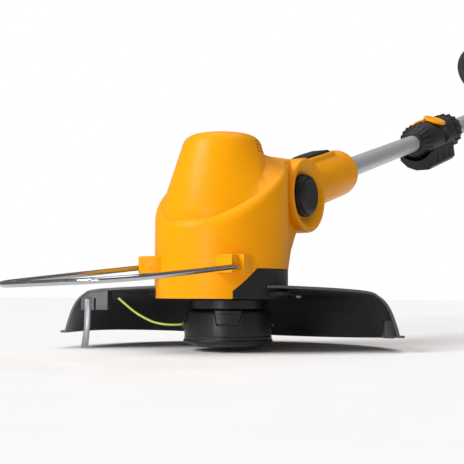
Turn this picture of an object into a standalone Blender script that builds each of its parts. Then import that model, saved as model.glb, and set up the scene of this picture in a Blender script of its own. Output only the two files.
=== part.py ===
"""A battery string trimmer with a tilting head, built as separate pieces.

The frame is in metres with +Z up. The origin is the centre of the bump button's flat foot, +Z is the
spool's axis, the trimmer's front points along -Y and its left side along +X. The shaft parts are made
in a second frame, whose origin is the tilt pivot and whose +Y runs up the shaft.
All sizes below are in millimetres; MM turns them into metres when a mesh is made.
"""

import math

import bmesh
import bpy
from mathutils import Matrix, Vector

MM = 0.001
GAP = 0.3  # between two pieces that touch

# Line head, turning about +Z
CAP_R, CAP_Z0, CAP_Z1 = 41.0, 3.6, 34.6
CARRIER_R, CARRIER_Z0, CARRIER_Z1 = 37.5, 35.2, 43.6
BUTTON_R, BUTTON_TRAVEL = 35.0, 3.0
SHAFT_R = 4.0
LATCH_ANGLE = -58.2  # degrees from +X: one latch looks this way, the other the opposite way
LINE_R = 1.0

# Motor housing
HOUSING_Y, HOUSING_R = -12.0, 62.0
HOUSING_Z0 = 44.5
LEDGE_Z, LEDGE_RISE, LEDGE_Y0, LEDGE_LENGTH = 115.0, 70.0, -65.0, 150.0
DOME_R, DOME_Z, DOME_TOP_R, DOME_TOP_Z = 56.0, 129.0, 38.0, 185.0
HEAD_TOP = 198.4
NECK_HALF = 34.0
MOTOR_R, MOTOR_Z0, MOTOR_Z1 = 21.0, 58.0, 112.0

# Tilt pivot and shaft
PIVOT_Y, PIVOT_Z, PIVOT_R = 86.0, 148.5, 38.0
CHEEK_IN, CHEEK_OUT = 21.5, 42.5
SHAFT_ANGLE = 16.0
ARM_R, ARM_START, ARM_END = 27.5, 44.0, 172.0
LOWER_R, UPPER_R, TUBE_WALL = 12.0, 14.0, 1.2
LOWER_START, LOWER_END = 112.0, 700.0
UPPER_START, UPPER_END = 472.0, 1115.0
COLLAR_START, BODY_END = 435.0, 572.0
LEVER_X, LEVER_Z = -28.6, 8.0  # the clamp lever's pin, in the shaft's frame
AID_AT = 965.0  # auxiliary handle
GRIP_START = 1060.0

# Guard: a dish about the spool's axis, drooping behind, with its front cut back on the left
GUARD_PROFILE = ((45.0, 57.4), (100.0, 55.0), (131.0, 52.6), (140.0, 48.8), (147.0, 42.6), (152.0, 34.0),
                 (156.2, 22.0), (158.6, 13.2))
GUARD_WALL, GUARD_LIP, GUARD_DROOP = 2.4, 163.0, 0.00026
GUARD_NECK, GUARD_RIGHT_TIP, GUARD_LEFT_TIP = (59.0, -31.0), (-146.5, -67.0), (150.5, 55.0)
BRACKET_Z1 = 71.0

# Plant guard wire
LUG_X, LUG_Y, LUG_Z = 49.6, -69.6, 72.0
WIRE_R = 2.0
WIRE_FRONT_Y, WIRE_DROP, WIRE_HALF, WIRE_TWIST = -242.0, 16.0, 64.0, 0.03

COLOURS = {
    "orange": ((0.95, 0.40, 0.01), 0.35, 0.0),
    "black": ((0.02, 0.02, 0.022), 0.45, 0.0),
    "dark_grey": ((0.07, 0.07, 0.075), 0.5, 0.0),
    "aluminium": ((0.6, 0.6, 0.6), 0.3, 1.0),
    "steel": ((0.5, 0.5, 0.52), 0.25, 1.0),
    "copper": ((0.7, 0.3, 0.15), 0.35, 1.0),
    "line": ((0.5, 0.65, 0.1), 0.4, 0.0),
    "board": ((0.02, 0.2, 0.05), 0.5, 0.0),
}


# ---------------------------------------------------------------- scene and materials

def clear_scene():
    for obj in list(bpy.data.objects):
        bpy.data.objects.remove(obj)


def material(name):
    made = bpy.data.materials.get(name)
    if made is None:
        made = bpy.data.materials.new(name)
        made.use_nodes = True
        colour, roughness, metallic = COLOURS[name]
        shader = made.node_tree.nodes["Principled BSDF"]
        shader.inputs["Base Color"].default_value = (*colour, 1.0)
        shader.inputs["Roughness"].default_value = roughness
        shader.inputs["Metallic"].default_value = metallic
    return made


def frame_empty(name, origin, angle):
    empty = bpy.data.objects.new(name, None)
    bpy.context.scene.collection.objects.link(empty)
    empty.location = Vector(origin) * MM
    empty.rotation_euler = (math.radians(angle), 0.0, 0.0)
    return empty


def finish(obj, name, colour, frame=None, pivot=(0.0, 0.0, 0.0)):
    """Names a piece, paints it, puts its origin on its joint's axis and hangs it in its frame."""
    obj.name = name
    obj.data.materials.clear()
    obj.data.materials.append(material(colour))
    if obj.type == "MESH":
        obj.data.transform(Matrix.Translation(-Vector(pivot) * MM))
        obj.location = Vector(pivot) * MM
        obj.data.shade_smooth()
        obj.data.set_sharp_from_angle(angle=math.radians(32))
    if frame is not None:
        obj.parent = frame
    return obj


# ---------------------------------------------------------------- mesh helpers

def new_object(bm, name="piece"):
    bmesh.ops.recalc_face_normals(bm, faces=bm.faces)
    mesh = bpy.data.meshes.new(name)
    bm.to_mesh(mesh)
    bm.free()
    obj = bpy.data.objects.new(name, mesh)
    bpy.context.scene.collection.objects.link(obj)
    return obj


AXES = {
    "Z": Matrix.Identity(4),
    "X": Matrix.Rotation(math.radians(90), 4, "Y"),
    "Y": Matrix.Rotation(math.radians(-90), 4, "X"),
}


def turned(profile, axis="Z", at=(0.0, 0.0, 0.0), steps=32):
    """A turned solid: profile is a list of (radius, height) round the section, and may touch radius 0."""
    bm = bmesh.new()
    points = [bm.verts.new((r * MM, 0.0, h * MM)) for r, h in profile]
    edges = [bm.edges.new((a, b)) for a, b in zip(points, points[1:])]
    closed = all(r > 0 for r, _ in profile)
    if closed:
        edges.append(bm.edges.new((points[-1], points[0])))
    bmesh.ops.spin(bm, geom=points + edges, cent=(0, 0, 0), axis=(0, 0, 1),
                   angle=2 * math.pi, steps=steps, use_merge=True, use_duplicate=False)
    bmesh.ops.remove_doubles(bm, verts=bm.verts, dist=1e-6)
    obj = new_object(bm)
    obj.data.transform(Matrix.Translation(Vector(at) * MM) @ AXES[axis])
    return obj


def rod(radius, start, end, axis="Z", at=(0.0, 0.0, 0.0), steps=24, bore=0.0):
    """A plain cylinder, or a tube if bore is given, from start to end along an axis through at."""
    if bore:
        profile = [(bore, start), (radius, start), (radius, end), (bore, end)]
    else:
        profile = [(0, start), (radius, start), (radius, end), (0, end)]
    return turned(profile, axis, at, steps)


def block(low, high, bevel=0.0, segments=2):
    """A box between two corners, with rounded edges if bevel is given."""
    bm = bmesh.new()
    bmesh.ops.create_cube(bm, size=1.0)
    low, high = Vector(low), Vector(high)
    for vert in bm.verts:
        vert.co = Vector((low[k] + (vert.co[k] + 0.5) * (high[k] - low[k])) * MM for k in range(3))
    if bevel:
        bmesh.ops.bevel(bm, geom=bm.edges[:], offset=bevel * MM, segments=segments,
                        affect="EDGES", profile=0.5)
    return new_object(bm)


def prism(outline, low, high, axis="X", bevel=0.0, segments=2):
    """An outline of 2D points pushed from low to high: (y, z) along X, (x, z) along Y, (x, y) along Z."""
    spread = {"X": lambda a, b, d: (d, a, b), "Y": lambda a, b, d: (a, d, b), "Z": lambda a, b, d: (a, b, d)}
    bm = bmesh.new()
    verts = [bm.verts.new(Vector(spread[axis](a, b, low)) * MM) for a, b in outline]
    face = bm.faces.new(verts)
    pushed = bmesh.ops.extrude_face_region(bm, geom=[face])
    moved = [v for v in pushed["geom"] if isinstance(v, bmesh.types.BMVert)]
    shift = Vector(spread[axis](0, 0, high - low)) * MM
    bmesh.ops.translate(bm, verts=moved, vec=shift)
    bmesh.ops.recalc_face_normals(bm, faces=bm.faces)
    if bevel:
        rims = [e for e in bm.edges if all(len(f.verts) != 4 or True for f in e.link_faces)]
        caps = [f for f in bm.faces if len(f.verts) == len(outline) and len(outline) != 4]
        if caps:
            rims = [e for f in caps for e in f.edges]
        bmesh.ops.bevel(bm, geom=list(set(rims)), offset=bevel * MM, segments=segments,
                        affect="EDGES", profile=0.5)
    return new_object(bm)


def tube(points, radius, sides=10, closed=False):
    """A rod bent along points, with flat ends."""
    curve = bpy.data.curves.new("tube", "CURVE")
    curve.dimensions = "3D"
    curve.bevel_depth = radius * MM
    curve.bevel_resolution = max(1, sides // 2 - 2)
    curve.use_fill_caps = not closed
    line = curve.splines.new("POLY")
    line.points.add(len(points) - 1)
    for point, place in zip(line.points, points):
        point.co = (*(Vector(place) * MM), 1.0)
    line.use_cyclic_u = closed
    guide = bpy.data.objects.new("tube", curve)
    bpy.context.scene.collection.objects.link(guide)
    obj = baked(guide)
    bm = bmesh.new()
    bm.from_mesh(obj.data)
    bmesh.ops.remove_doubles(bm, verts=bm.verts, dist=1e-6)
    bmesh.ops.recalc_face_normals(bm, faces=bm.faces)
    bm.to_mesh(obj.data)
    bm.free()
    return obj


def baked(obj):
    """The object's evaluated mesh as a new plain object, the old one removed."""
    graph = bpy.context.evaluated_depsgraph_get()
    mesh = bpy.data.meshes.new_from_object(obj.evaluated_get(graph))
    made = bpy.data.objects.new("piece", mesh)
    bpy.context.scene.collection.objects.link(made)
    made.matrix_world = obj.matrix_world
    bpy.data.objects.remove(obj)
    return made


def combine(obj, others, operation):
    """Cuts others from obj, or joins them to it, and removes them."""
    for other in others:
        modifier = obj.modifiers.new("boolean", "BOOLEAN")
        modifier.operation = operation
        modifier.solver = "EXACT"
        modifier.object = other
        obj = baked(obj)
        bpy.data.objects.remove(other)
    return obj


def cut(obj, *others):
    return combine(obj, others, "DIFFERENCE")


def join(obj, *others):
    return combine(obj, others, "UNION")


def common(obj, *others):
    return combine(obj, others, "INTERSECT")


def copy_of(obj):
    made = obj.copy()
    made.data = obj.data.copy()
    bpy.context.scene.collection.objects.link(made)
    return made


def mirrored(obj):
    """A copy of obj on the other side of X = 0."""
    made = copy_of(obj)
    made.data.transform(Matrix.Scale(-1, 4, (1, 0, 0)))
    made.data.flip_normals()
    return made


def halves(obj):
    """Splits obj at X = 0 into its left (+X) and right (-X) half, half a gap either side."""
    far = 3000.0
    right = copy_of(obj)
    left = cut(obj, block((-far, -far, -far), (GAP / 2, far, far)))
    right = cut(right, block((-GAP / 2, -far, -far), (far, far, far)))
    return left, right


def arc(centre, radius, start, end, steps):
    """Points on an arc in 2D, from start to end in degrees."""
    return [
        (
            centre[0] + radius * math.cos(math.radians(start + (end - start) * k / steps)),
            centre[1] + radius * math.sin(math.radians(start + (end - start) * k / steps)),
        )
        for k in range(steps + 1)
    ]


def about_z(obj, angle):
    obj.data.transform(Matrix.Rotation(math.radians(angle), 4, "Z"))
    return obj


def smooth_path(points, per_span=6):
    """A Catmull-Rom curve through points, with per_span points to each span."""
    points = [Vector(p) for p in points]
    padded = [2 * points[0] - points[1], *points, 2 * points[-1] - points[-2]]
    made = []
    for a, b, c, d in zip(padded, padded[1:], padded[2:], padded[3:]):
        for k in range(per_span):
            t = k / per_span
            made.append(0.5 * (2 * b + (c - a) * t + (2 * a - 5 * b + 4 * c - d) * t**2
                               + (3 * b - a - 3 * c + d) * t**3))
    return [*made, points[-1]]


# ---------------------------------------------------------------- motor housing

def ledge_height(y):
    """Height of the side walls' top edge, which sweeps up from the front to the pivot."""
    share = min(1.0, max(0.0, (y - LEDGE_Y0) / LEDGE_LENGTH))
    return LEDGE_Z + LEDGE_RISE * math.sin(math.pi / 2 * share)


def housing_outline(inset):
    """The head's plan: round in front, narrowing to the neck behind. Points are (x, y)."""
    front = arc((0.0, HOUSING_Y), HOUSING_R - inset, 27, -207, 26)
    neck = NECK_HALF - inset
    back = PIVOT_Y
    right_side = [(-neck - 8, 40), (-neck, 62), (-neck, back)]
    left_side = [(neck, back), (neck, 62), (neck + 8, 40)]
    across = [(-neck * (1 - 2 * k / 4), back) for k in range(1, 4)]
    return front + right_side + across + left_side


def housing_body():
    """The outer solid: vertical side walls, a rounded ledge and the tapered motor dome above it."""
    outline = housing_outline(0.0)
    slope = (DOME_R - DOME_TOP_R) / (DOME_TOP_Z - DOME_Z)

    def ring_of(inset, lift):
        return [Vector((x, y, ledge_height(y) + lift)) for x, y in housing_outline(inset)]

    def dome_ring(height_of):
        ring = []
        for x, y in outline:
            direction = Vector((x, y - HOUSING_Y)).normalized()
            z = height_of(HOUSING_Y + DOME_R * direction.y)
            radius = DOME_R - (z - DOME_Z) * slope
            ring.append(Vector((direction.x * radius, HOUSING_Y + direction.y * radius, z)))
        return ring

    def top_ring(radius, z):
        ring = []
        for x, y in outline:
            direction = Vector((x, y - HOUSING_Y)).normalized()
            ring.append(Vector((direction.x * radius, HOUSING_Y + direction.y * radius, z)))
        return ring

    rings = [
        [Vector((x, y, HOUSING_Z0)) for x, y in outline],
        ring_of(0.0, -9.0),
        ring_of(0.9, -4.6),
        ring_of(3.0, -1.4),
        ring_of(6.0, 0.0),
        dome_ring(lambda y: min(ledge_height(y) + 10.0, DOME_TOP_Z - 1.5)),
        top_ring(DOME_TOP_R, DOME_TOP_Z),
        top_ring(DOME_TOP_R - 1.8, DOME_TOP_Z + 5.4),
        top_ring(DOME_TOP_R - 6.0, DOME_TOP_Z + 9.8),
        top_ring(DOME_TOP_R - 12.5, HEAD_TOP - 1.4),
        top_ring(DOME_TOP_R - 22.0, HEAD_TOP),
    ]
    bm = bmesh.new()
    loops = [[bm.verts.new(p * MM) for p in ring] for ring in rings]
    for low, high in zip(loops, loops[1:]):
        for k in range(len(low)):
            n = (k + 1) % len(low)
            bm.faces.new((low[k], low[n], high[n], high[k]))
    bm.faces.new(loops[0])
    bm.faces.new(loops[-1])
    bmesh.ops.triangulate(bm, faces=[f for f in bm.faces if len(f.verts) == 4])
    return new_object(bm)


def pivot_boss():
    """Both round cheeks of the tilt pivot, dished outside and joined through the middle."""
    rim, dish, seat = PIVOT_R, 31.0, 23.0
    profile = [
        (0, -CHEEK_OUT + 8), (seat, -CHEEK_OUT + 8), (dish, -CHEEK_OUT + 1.5), (dish + 1.5, -CHEEK_OUT),
        (rim - 3, -CHEEK_OUT), (rim - 0.8, -CHEEK_OUT + 1.2), (rim, -CHEEK_OUT + 4),
        (rim, CHEEK_OUT - 4), (rim - 0.8, CHEEK_OUT - 1.2), (rim - 3, CHEEK_OUT),
        (dish + 1.5, CHEEK_OUT), (dish, CHEEK_OUT - 1.5), (seat, CHEEK_OUT - 8), (0, CHEEK_OUT - 8),
    ]
    return turned(profile, "X", (0, PIVOT_Y, PIVOT_Z), 36)


def lug(side):
    """An ear at the housing's front with a notch in its side, where the plant guard's leg bends in."""
    outline = [(28, -66), (36, -72), (LUG_X, LUG_Y - 4), (LUG_X, LUG_Y + 7), (55, LUG_Y + 7), (55, -55),
               (52, -44), (36, -44)]
    outline = [(side * x, y) for x, y in outline]
    return prism(outline, LUG_Z - 5.5, LUG_Z + 10.5, "Z")


def bracket_zone(clearance):
    """The band behind the housing that the guard bracket fills, as a ring cut to the bracket's side view."""
    ring = rod(HOUSING_R + clearance, HOUSING_Z0 - 5, BRACKET_Z1 + clearance, "Z", (0, HOUSING_Y, 0), 40,
               HOUSING_R - 3.4 - clearance)
    front_low, front_high, knee = -58 - clearance, -40 - clearance, 51 + clearance
    side_view = [(front_low, 30), (front_low, knee), (front_high, BRACKET_Z1 + clearance + 0.1),
                 (90, BRACKET_Z1 + clearance + 0.1), (90, 30)]
    return common(ring, prism(side_view, -90, 90, "X"))


def make_housing():
    body = housing_body()
    under_neck = prism([(10, 30), (10, 72), (50, 72), (76, 114), (120, 114), (120, 30)], -90, 90, "X")
    body = cut(body, cut(under_neck, rod(HOUSING_R, 20, 130, "Z", (0, HOUSING_Y, 0), 40)))
    body = join(body, pivot_boss(), lug(1), lug(-1))
    dish = [(0, CHEEK_OUT - 8), (23, CHEEK_OUT - 8), (31, CHEEK_OUT - 1.5), (32.5, CHEEK_OUT + 0.1), (32.5, 50),
            (0, 50)]
    for side in (1, -1):
        body = cut(body, turned([(r, side * x) for r, x in dish], "X", (0, PIVOT_Y, PIVOT_Z), 36))
    # The bores the plant guard's ends turn in
    for side in (1, -1):
        low, high = sorted((side * 36.0, side * (LUG_X + 3)))
        body = cut(body, rod(WIRE_R + 0.35, low, high, "X", (0, LUG_Y, LUG_Z), 12))
    # Room for the arm's barrel and its swing
    body = cut(body, rod(42, -CHEEK_IN, CHEEK_IN, "X", (0, PIVOT_Y, PIVOT_Z), 32))
    swing = [(0, 0), (12, 90), (90, 60), (90, -60)]
    swing = [(PIVOT_Y + y, PIVOT_Z + z) for y, z in swing]
    body = cut(body, prism(swing, -CHEEK_IN, CHEEK_IN, "X"))
    body = cut(body, rod(6.2, -60, 60, "X", (0, PIVOT_Y, PIVOT_Z), 20))
    # The motor's room, open below
    room = turned([(0, 30), (54.5, 30), (54.5, 108), (48, 124), (33, 185), (26, 193), (0, 195)],
                  "Z", (0, HOUSING_Y, 0), 28)
    body = cut(body, room, bracket_zone(GAP))
    # Cooling slots in the dome's back
    for row, z in enumerate((160, 168, 176)):
        for x in (-15, -5, 5, 15):
            body = cut(body, block((x - 3, 0, z), (x + 3, 60, z + 3.2)))
    left, right = halves(body)
    finish(left, "housing_left", "orange")
    finish(right, "housing_right", "orange")


def make_motor():
    at = (0, 0, 0)
    finish(rod(SHAFT_R, 22, 138, steps=16), "motor_shaft", "steel")
    finish(turned([(SHAFT_R + GAP, MOTOR_Z0), (MOTOR_R, MOTOR_Z0), (MOTOR_R, MOTOR_Z1), (9, MOTOR_Z1),
                   (9, MOTOR_Z1 + 5), (SHAFT_R + GAP, MOTOR_Z1 + 5)], "Z", at, 32), "motor", "steel")
    finish(turned([(SHAFT_R + GAP, 52), (8, 52), (8, 57), (SHAFT_R + GAP, 57)], "Z", at, 20),
           "motor_bearing", "steel")
    plate = turned([(8 + GAP, 51), (40.5, 51), (40.5, 57.7), (36, 57.7), (36, 54), (8 + GAP, 54)], "Z", at, 40)
    finish(plate, "motor_plate", "black")
    hub = rod(9, 122, 134, "Z", at, 20)
    for k in range(6):
        blade = about_z(block((6, -1, 123), (25, 1, 133)), 60 * k)
        hub = join(hub, blade)
    hub = cut(hub, rod(SHAFT_R + GAP, 100, 150, steps=16))
    finish(hub, "cooling_fan", "black")


# ---------------------------------------------------------------- line head

def make_line_head():
    # The drive cup, fixed on the motor's shaft
    carrier = turned([(SHAFT_R + GAP, 30), (10, 30), (10, CARRIER_Z0 + 3), (34.5, CARRIER_Z0 + 3),
                      (34.5, CARRIER_Z0), (CARRIER_R, CARRIER_Z0), (CARRIER_R, CARRIER_Z1),
                      (SHAFT_R + GAP, CARRIER_Z1)], steps=32)
    finish(carrier, "spool_carrier", "black")
    # The cap with its two latch windows and two line holes
    cap = turned([(36, CAP_Z0), (CAP_R + 0.9, CAP_Z0), (CAP_R + 0.9, 6.4), (CAP_R, 7.0), (CAP_R, 31.0),
                  (CAP_R - 3.2, CAP_Z1), (CAP_R - 5.2, CAP_Z1), (CAP_R - 2.8, 30.4), (CAP_R - 2.8, 6.4),
                  (36, 6.4)], steps=40)
    for turn in (0, 180):
        window = prism([(-10.5, 20.5), (10.5, 20.5), (13.6, 40), (-13.6, 40)], 30, 50, "Y")
        cap = cut(cap, about_z(window, turn + LATCH_ANGLE - 90))
        hole = rod(3.2, 30, 50, "X", (0, 0, 20), 12)
        cap = cut(cap, about_z(hole, turn + LATCH_ANGLE - 90))
    finish(cap, "spool_cap", "black")
    for turn, name in ((0, "front_latch"), (180, "rear_latch")):
        band = rod(CAP_R + 0.4, 21.2, 34.2, steps=40, bore=CAP_R - 2.4)
        outline = [(-9.8, 21), (9.8, 21), (12.4, 35), (-12.4, 35)]
        tab = common(band, prism(outline, 30, 50, "Y"))
        tab = about_z(tab, turn + LATCH_ANGLE - 90)
        finish(tab, name, "black")
        eye = turned([(1.6, 35.8), (4.6, 35.8), (4.6, 37.2), (2.8, 37.2), (2.8, 41.3), (4.4, 41.8),
                      (4.4, 42.4), (1.6, 42.4)], "X", (0, 0, 20), 12)
        eye = about_z(eye, turn + LATCH_ANGLE - 90)
        finish(eye, "line_eyelet_" + name.split("_")[0], "steel")
    # What the bump button moves: the button, the reel and the line wound on it
    button = turned([(0, 0), (BUTTON_R - 4, 0), (BUTTON_R, 2.4), (BUTTON_R, 3.2), (32, 3.2), (32, 7),
                     (29, 8.8), (0, 8.8)], steps=32)
    finish(button, "bump_button", "dark_grey")
    reel = turned([(7, 9.2), (35, 9.2), (35, 11), (14, 11), (14, 26), (35, 26), (35, 28), (10.6, 28),
                   (10.6, 10.8), (7, 10.8)], steps=32)
    finish(reel, "spool", "black")
    finish(rod(31, 11 + GAP, 26 - GAP, steps=32, bore=14 + GAP), "line_winding", "line")
    turns, per_turn = 3, 8
    coil = [(8.6 * math.cos(2 * math.pi * k / per_turn), 8.6 * math.sin(2 * math.pi * k / per_turn),
             12.0 + (28.9 - 12.0) * k / (turns * per_turn)) for k in range(turns * per_turn + 1)]
    finish(tube(coil, 0.8, 6), "bump_spring", "steel")


def make_line():
    """The free end of the cutting line, out of one eyelet and bent up under the guard."""
    away = math.radians(LATCH_ANGLE - 90)
    points = []
    for reach, height, sway in ((43.2, 20, 0), (51, 19.6, 0), (60, 20, 1), (70, 22, 2), (80, 26.5, 3),
                                (89, 32, 4), (97, 38.5, 4), (104, 44.5, 4)):
        points.append((reach * math.cos(away) + sway * math.sin(away),
                       reach * math.sin(away) - sway * math.cos(away), height))
    finish(tube(smooth_path(points, 3), LINE_R, 8), "cutting_line", "line")


# ---------------------------------------------------------------- guard

def make_guard():
    finish(make_bracket(), "guard_bracket", "black")
    inner = [(r - GUARD_WALL * k, z - GUARD_WALL * (1 - 0.75 * k)) for (r, z), k in
             zip(GUARD_PROFILE, (0, 0, 0.1, 0.5, 0.75, 0.9, 1, 1))]
    lip = [(GUARD_LIP, GUARD_PROFILE[-1][1]), (GUARD_LIP, 11.0), (GUARD_PROFILE[-1][0] - GUARD_WALL, 11.0)]
    guard = turned([*GUARD_PROFILE, *lip, *reversed(inner[:-1])], steps=56)
    front = [GUARD_RIGHT_TIP, (-GUARD_NECK[0], GUARD_NECK[1]), GUARD_NECK, GUARD_LEFT_TIP]
    left, right = Vector(GUARD_LEFT_TIP) * 2, Vector(GUARD_RIGHT_TIP) * 2
    wedge = [*front, tuple(left), (320, -320), (-320, -320), tuple(right)]
    guard = cut(guard, prism(wedge, -20, 120, "Z"))
    guard = cut(guard, rod(HOUSING_R + GAP, 20, 90, "Z", (0, HOUSING_Y, 0), 40))
    # The cutter's holder, two ribs under the plate at the right-hand end
    along = Vector(GUARD_RIGHT_TIP) - Vector((-GUARD_NECK[0], GUARD_NECK[1]))
    turn = Matrix.Rotation(math.atan2(along.y, along.x) + math.pi, 4, "Z")
    place = Matrix.Translation(Vector((GUARD_RIGHT_TIP[0], GUARD_RIGHT_TIP[1], 0)) * MM) @ turn
    holder = prism([(18.3, 33), (44.8, 33), (44.8, 53.4), (31, 51.6), (22, 49.4), (18.3, 47)], 0.6, 15.0, "Y")
    holder = cut(holder, block((31.2, -1, 30), (33.0, 9, 44)), block((21.4, -1, 30), (28.4, 3.0, 44.2)))
    holder.data.transform(place)
    guard = join(guard, holder)
    # A stop on the skirt's inside at the left-hand end
    stop = block((146, -7, 10.2), (155.5, 7, 27))
    guard = join(guard, about_z(stop, 32))
    for vert in guard.data.vertices:
        vert.co.z -= GUARD_DROOP * max(0.0, vert.co.y / MM + 20.0) ** 2 * MM
    finish(guard, "guard", "dark_grey")
    blade = prism([(21.8, 43.6), (28.0, 43.6), (27.6, 22), (25.6, -3), (18.6, -3.4), (21.2, 14)], 0.9, 2.3, "Y")
    blade.data.transform(place)
    finish(blade, "line_cutter", "steel")


def make_bracket():
    """The black band behind the housing, with the flange that carries the guard's plate."""
    band = bracket_zone(0.0)
    band = cut(band, block((-200, -200, -50), (200, 200, HOUSING_Z0)))
    flange = rod(HOUSING_R + 12, 47.6, 50.6, "Z", (0, HOUSING_Y, 0), 40, HOUSING_R - 2)
    flange = cut(flange, block((-200, -200, 0), (200, GUARD_NECK[1] + 3, 100)))
    return join(band, flange)


def guard_screws():
    for side, name in ((1, "left"), (-1, "right")):
        at = (side * 66 * math.cos(math.radians(25)), HOUSING_Y + 68 * math.sin(math.radians(35)), 0)
        screw = turned([(0, 44.9), (4, 44.9), (4, 47.3), (0, 47.3)], "Z", at, 12)
        finish(screw, "guard_screw_" + name, "steel")


def wire_path():
    """The plant guard: ends in the lugs' bores, legs forward, a rounded front. Mirrored about X = 0."""
    def height(x, y):
        share = (LUG_Y - y) / (LUG_Y - WIRE_FRONT_Y)
        return LUG_Z - (WIRE_DROP - WIRE_TWIST * x) * share

    half = [(37.5, LUG_Y), (44, LUG_Y), (50, LUG_Y), (51.6, LUG_Y - 0.8), (52.3, LUG_Y - 2.8)]
    half += [(52.3 + (WIRE_HALF - 52.3) * k / 8, LUG_Y - 2.8 + (WIRE_FRONT_Y + 34 - LUG_Y + 2.8) * k / 8)
             for k in range(1, 9)]
    half += arc((WIRE_HALF - 34, WIRE_FRONT_Y + 34), 34, 0, -90, 8)[1:]
    one = [(x, y) for x, y in half] + [(0.0, WIRE_FRONT_Y)]
    both = one + [(-x, y) for x, y in reversed(half)]
    return [(x, y, height(x, y)) for x, y in both]


def make_plant_guard():
    finish(tube(wire_path(), WIRE_R, 10), "plant_guard", "steel", None, (0, LUG_Y, LUG_Z))


# ---------------------------------------------------------------- tilt pivot and arm

def make_pivot():
    at = (0, PIVOT_Y, PIVOT_Z)
    finish(rod(5.9, -33.5, 33.5, "X", at, 20), "pivot_pin", "steel", None, at)
    steps = [(0, 34.8), (22.0, 34.8), (22.0, 37.0), (20.9, 37.6), (21.6, 38.2), (21.6, 39.6), (20.4, 40.2),
             (20.0, 42.4), (18.0, 43.6), (0, 44.0)]
    cap = turned(steps, "X", at, 28)
    other = finish(mirrored(cap), "pivot_cap_right", "black")
    finish(cap, "pivot_cap_left", "black")
    return other


def make_arm(frame):
    """The arm that holds the shaft: a barrel between the cheeks, a neck and the tube's socket."""
    barrel = rod(34, -CHEEK_IN + GAP + 0.4, CHEEK_IN - GAP - 0.4, "X", (0, 0, 0), 28)
    neck = prism([(0, -24), (0, 30), (60, 26), (60, -26)], -CHEEK_IN + 0.7, CHEEK_IN - 0.7, "X")
    socket = turned([(0, ARM_START), (20, ARM_START), (25.5, ARM_START + 4), (ARM_R, ARM_START + 12),
                     (ARM_R, ARM_END - 12), (ARM_R - 2, ARM_END - 5), (ARM_R - 6, ARM_END - 1),
                     (ARM_R - 9, ARM_END), (0, ARM_END)], "Y", (0, 0, 0), 28)
    seat = block((-13.5, 60, 18), (13.5, 138, 29.4), 2.5)
    arm = join(barrel, neck, socket, seat)
    arm = cut(arm, rod(LOWER_R + GAP, LOWER_START - 2, ARM_END + 20, "Y", (0, 0, 0), 20))
    arm = cut(arm, block((-10.6, 64.4, 12), (10.6, 133.6, 60)))
    arm = cut(arm, rod(6.2, -60, 60, "X", (0, 0, 0), 20))
    arm = cut(arm, rod(20, -7.5, 7.5, "X", (0, 0, 0), 32))
    arm = cut(arm, block((-7.5, 0, -9), (7.5, LOWER_START - 4, 9)))
    left, right = halves(arm)
    finish(left, "arm_left", "orange", frame)
    finish(right, "arm_right", "orange", frame)
    # The foot pedal on top, its spring and the latch it draws back from the notched disc
    pedal = prism([(65, 22), (65, 28.5), (72, 31.5), (100, 32.6), (128, 32), (133, 28.5), (133, 22)],
                  -10, 10, "X", 1.2, 2)
    finish(pedal, "tilt_pedal", "black", frame, (0, 131, 24))
    coil = [(3.4 * math.cos(k * math.pi / 3), 78 + 3.4 * math.sin(k * math.pi / 3), 13.2 + 7.6 * k / 18)
            for k in range(19)]
    finish(tube(coil, 0.5, 6), "pedal_spring", "steel", frame)
    latch = join(block((-5, 20.5, -5), (5, 96, 5), 0.8), block((-3, 17.5, -3), (3, 22, 3)))
    finish(latch, "tilt_latch", "steel", frame)
    disc = rod(16.5, -5, 5, "X", (0, 0, 0), 40, 6.2)
    for k in range(5):
        angle = math.radians(-45 + 15 * k * 1.0)
        notch = block((-8, 14.4, -2.4), (8, 22, 2.4))
        notch.data.transform(Matrix.Rotation(angle, 4, "X"))
        disc = cut(disc, notch)
    finish(disc, "tilt_disc", "steel", frame)


# ---------------------------------------------------------------- shaft and collar

def ribbed(profile, ribs, rib_profile, at=(0, 0, 0), width=2.6, steps=32):
    """A turned ring along Y with straight ribs standing on it."""
    ring = turned(profile, "Y", at, steps)
    for k in range(ribs):
        rib = prism(rib_profile, -width / 2, width / 2, "X")
        rib.data.transform(Matrix.Rotation(2 * math.pi * k / ribs, 4, "Y"))
        ring = join(ring, rib)
    return ring


def make_shaft(frame):
    finish(rod(LOWER_R, LOWER_START, LOWER_END, "Y", steps=20, bore=LOWER_R - TUBE_WALL),
           "lower_tube", "aluminium", frame)
    finish(rod(UPPER_R, UPPER_START, UPPER_END, "Y", steps=24, bore=UPPER_R - 1.0),
           "upper_tube", "aluminium", frame)
    bush = turned([(LOWER_R - TUBE_WALL - GAP, LOWER_END - 25), (LOWER_R - TUBE_WALL - GAP, LOWER_END + GAP),
                   (12.7, LOWER_END + GAP), (12.7, LOWER_END + 14), (7, LOWER_END + 14),
                   (7, LOWER_END - 25)], "Y", (0, 0, 0), 20)
    finish(bush, "shaft_bush", "black", frame)


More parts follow.
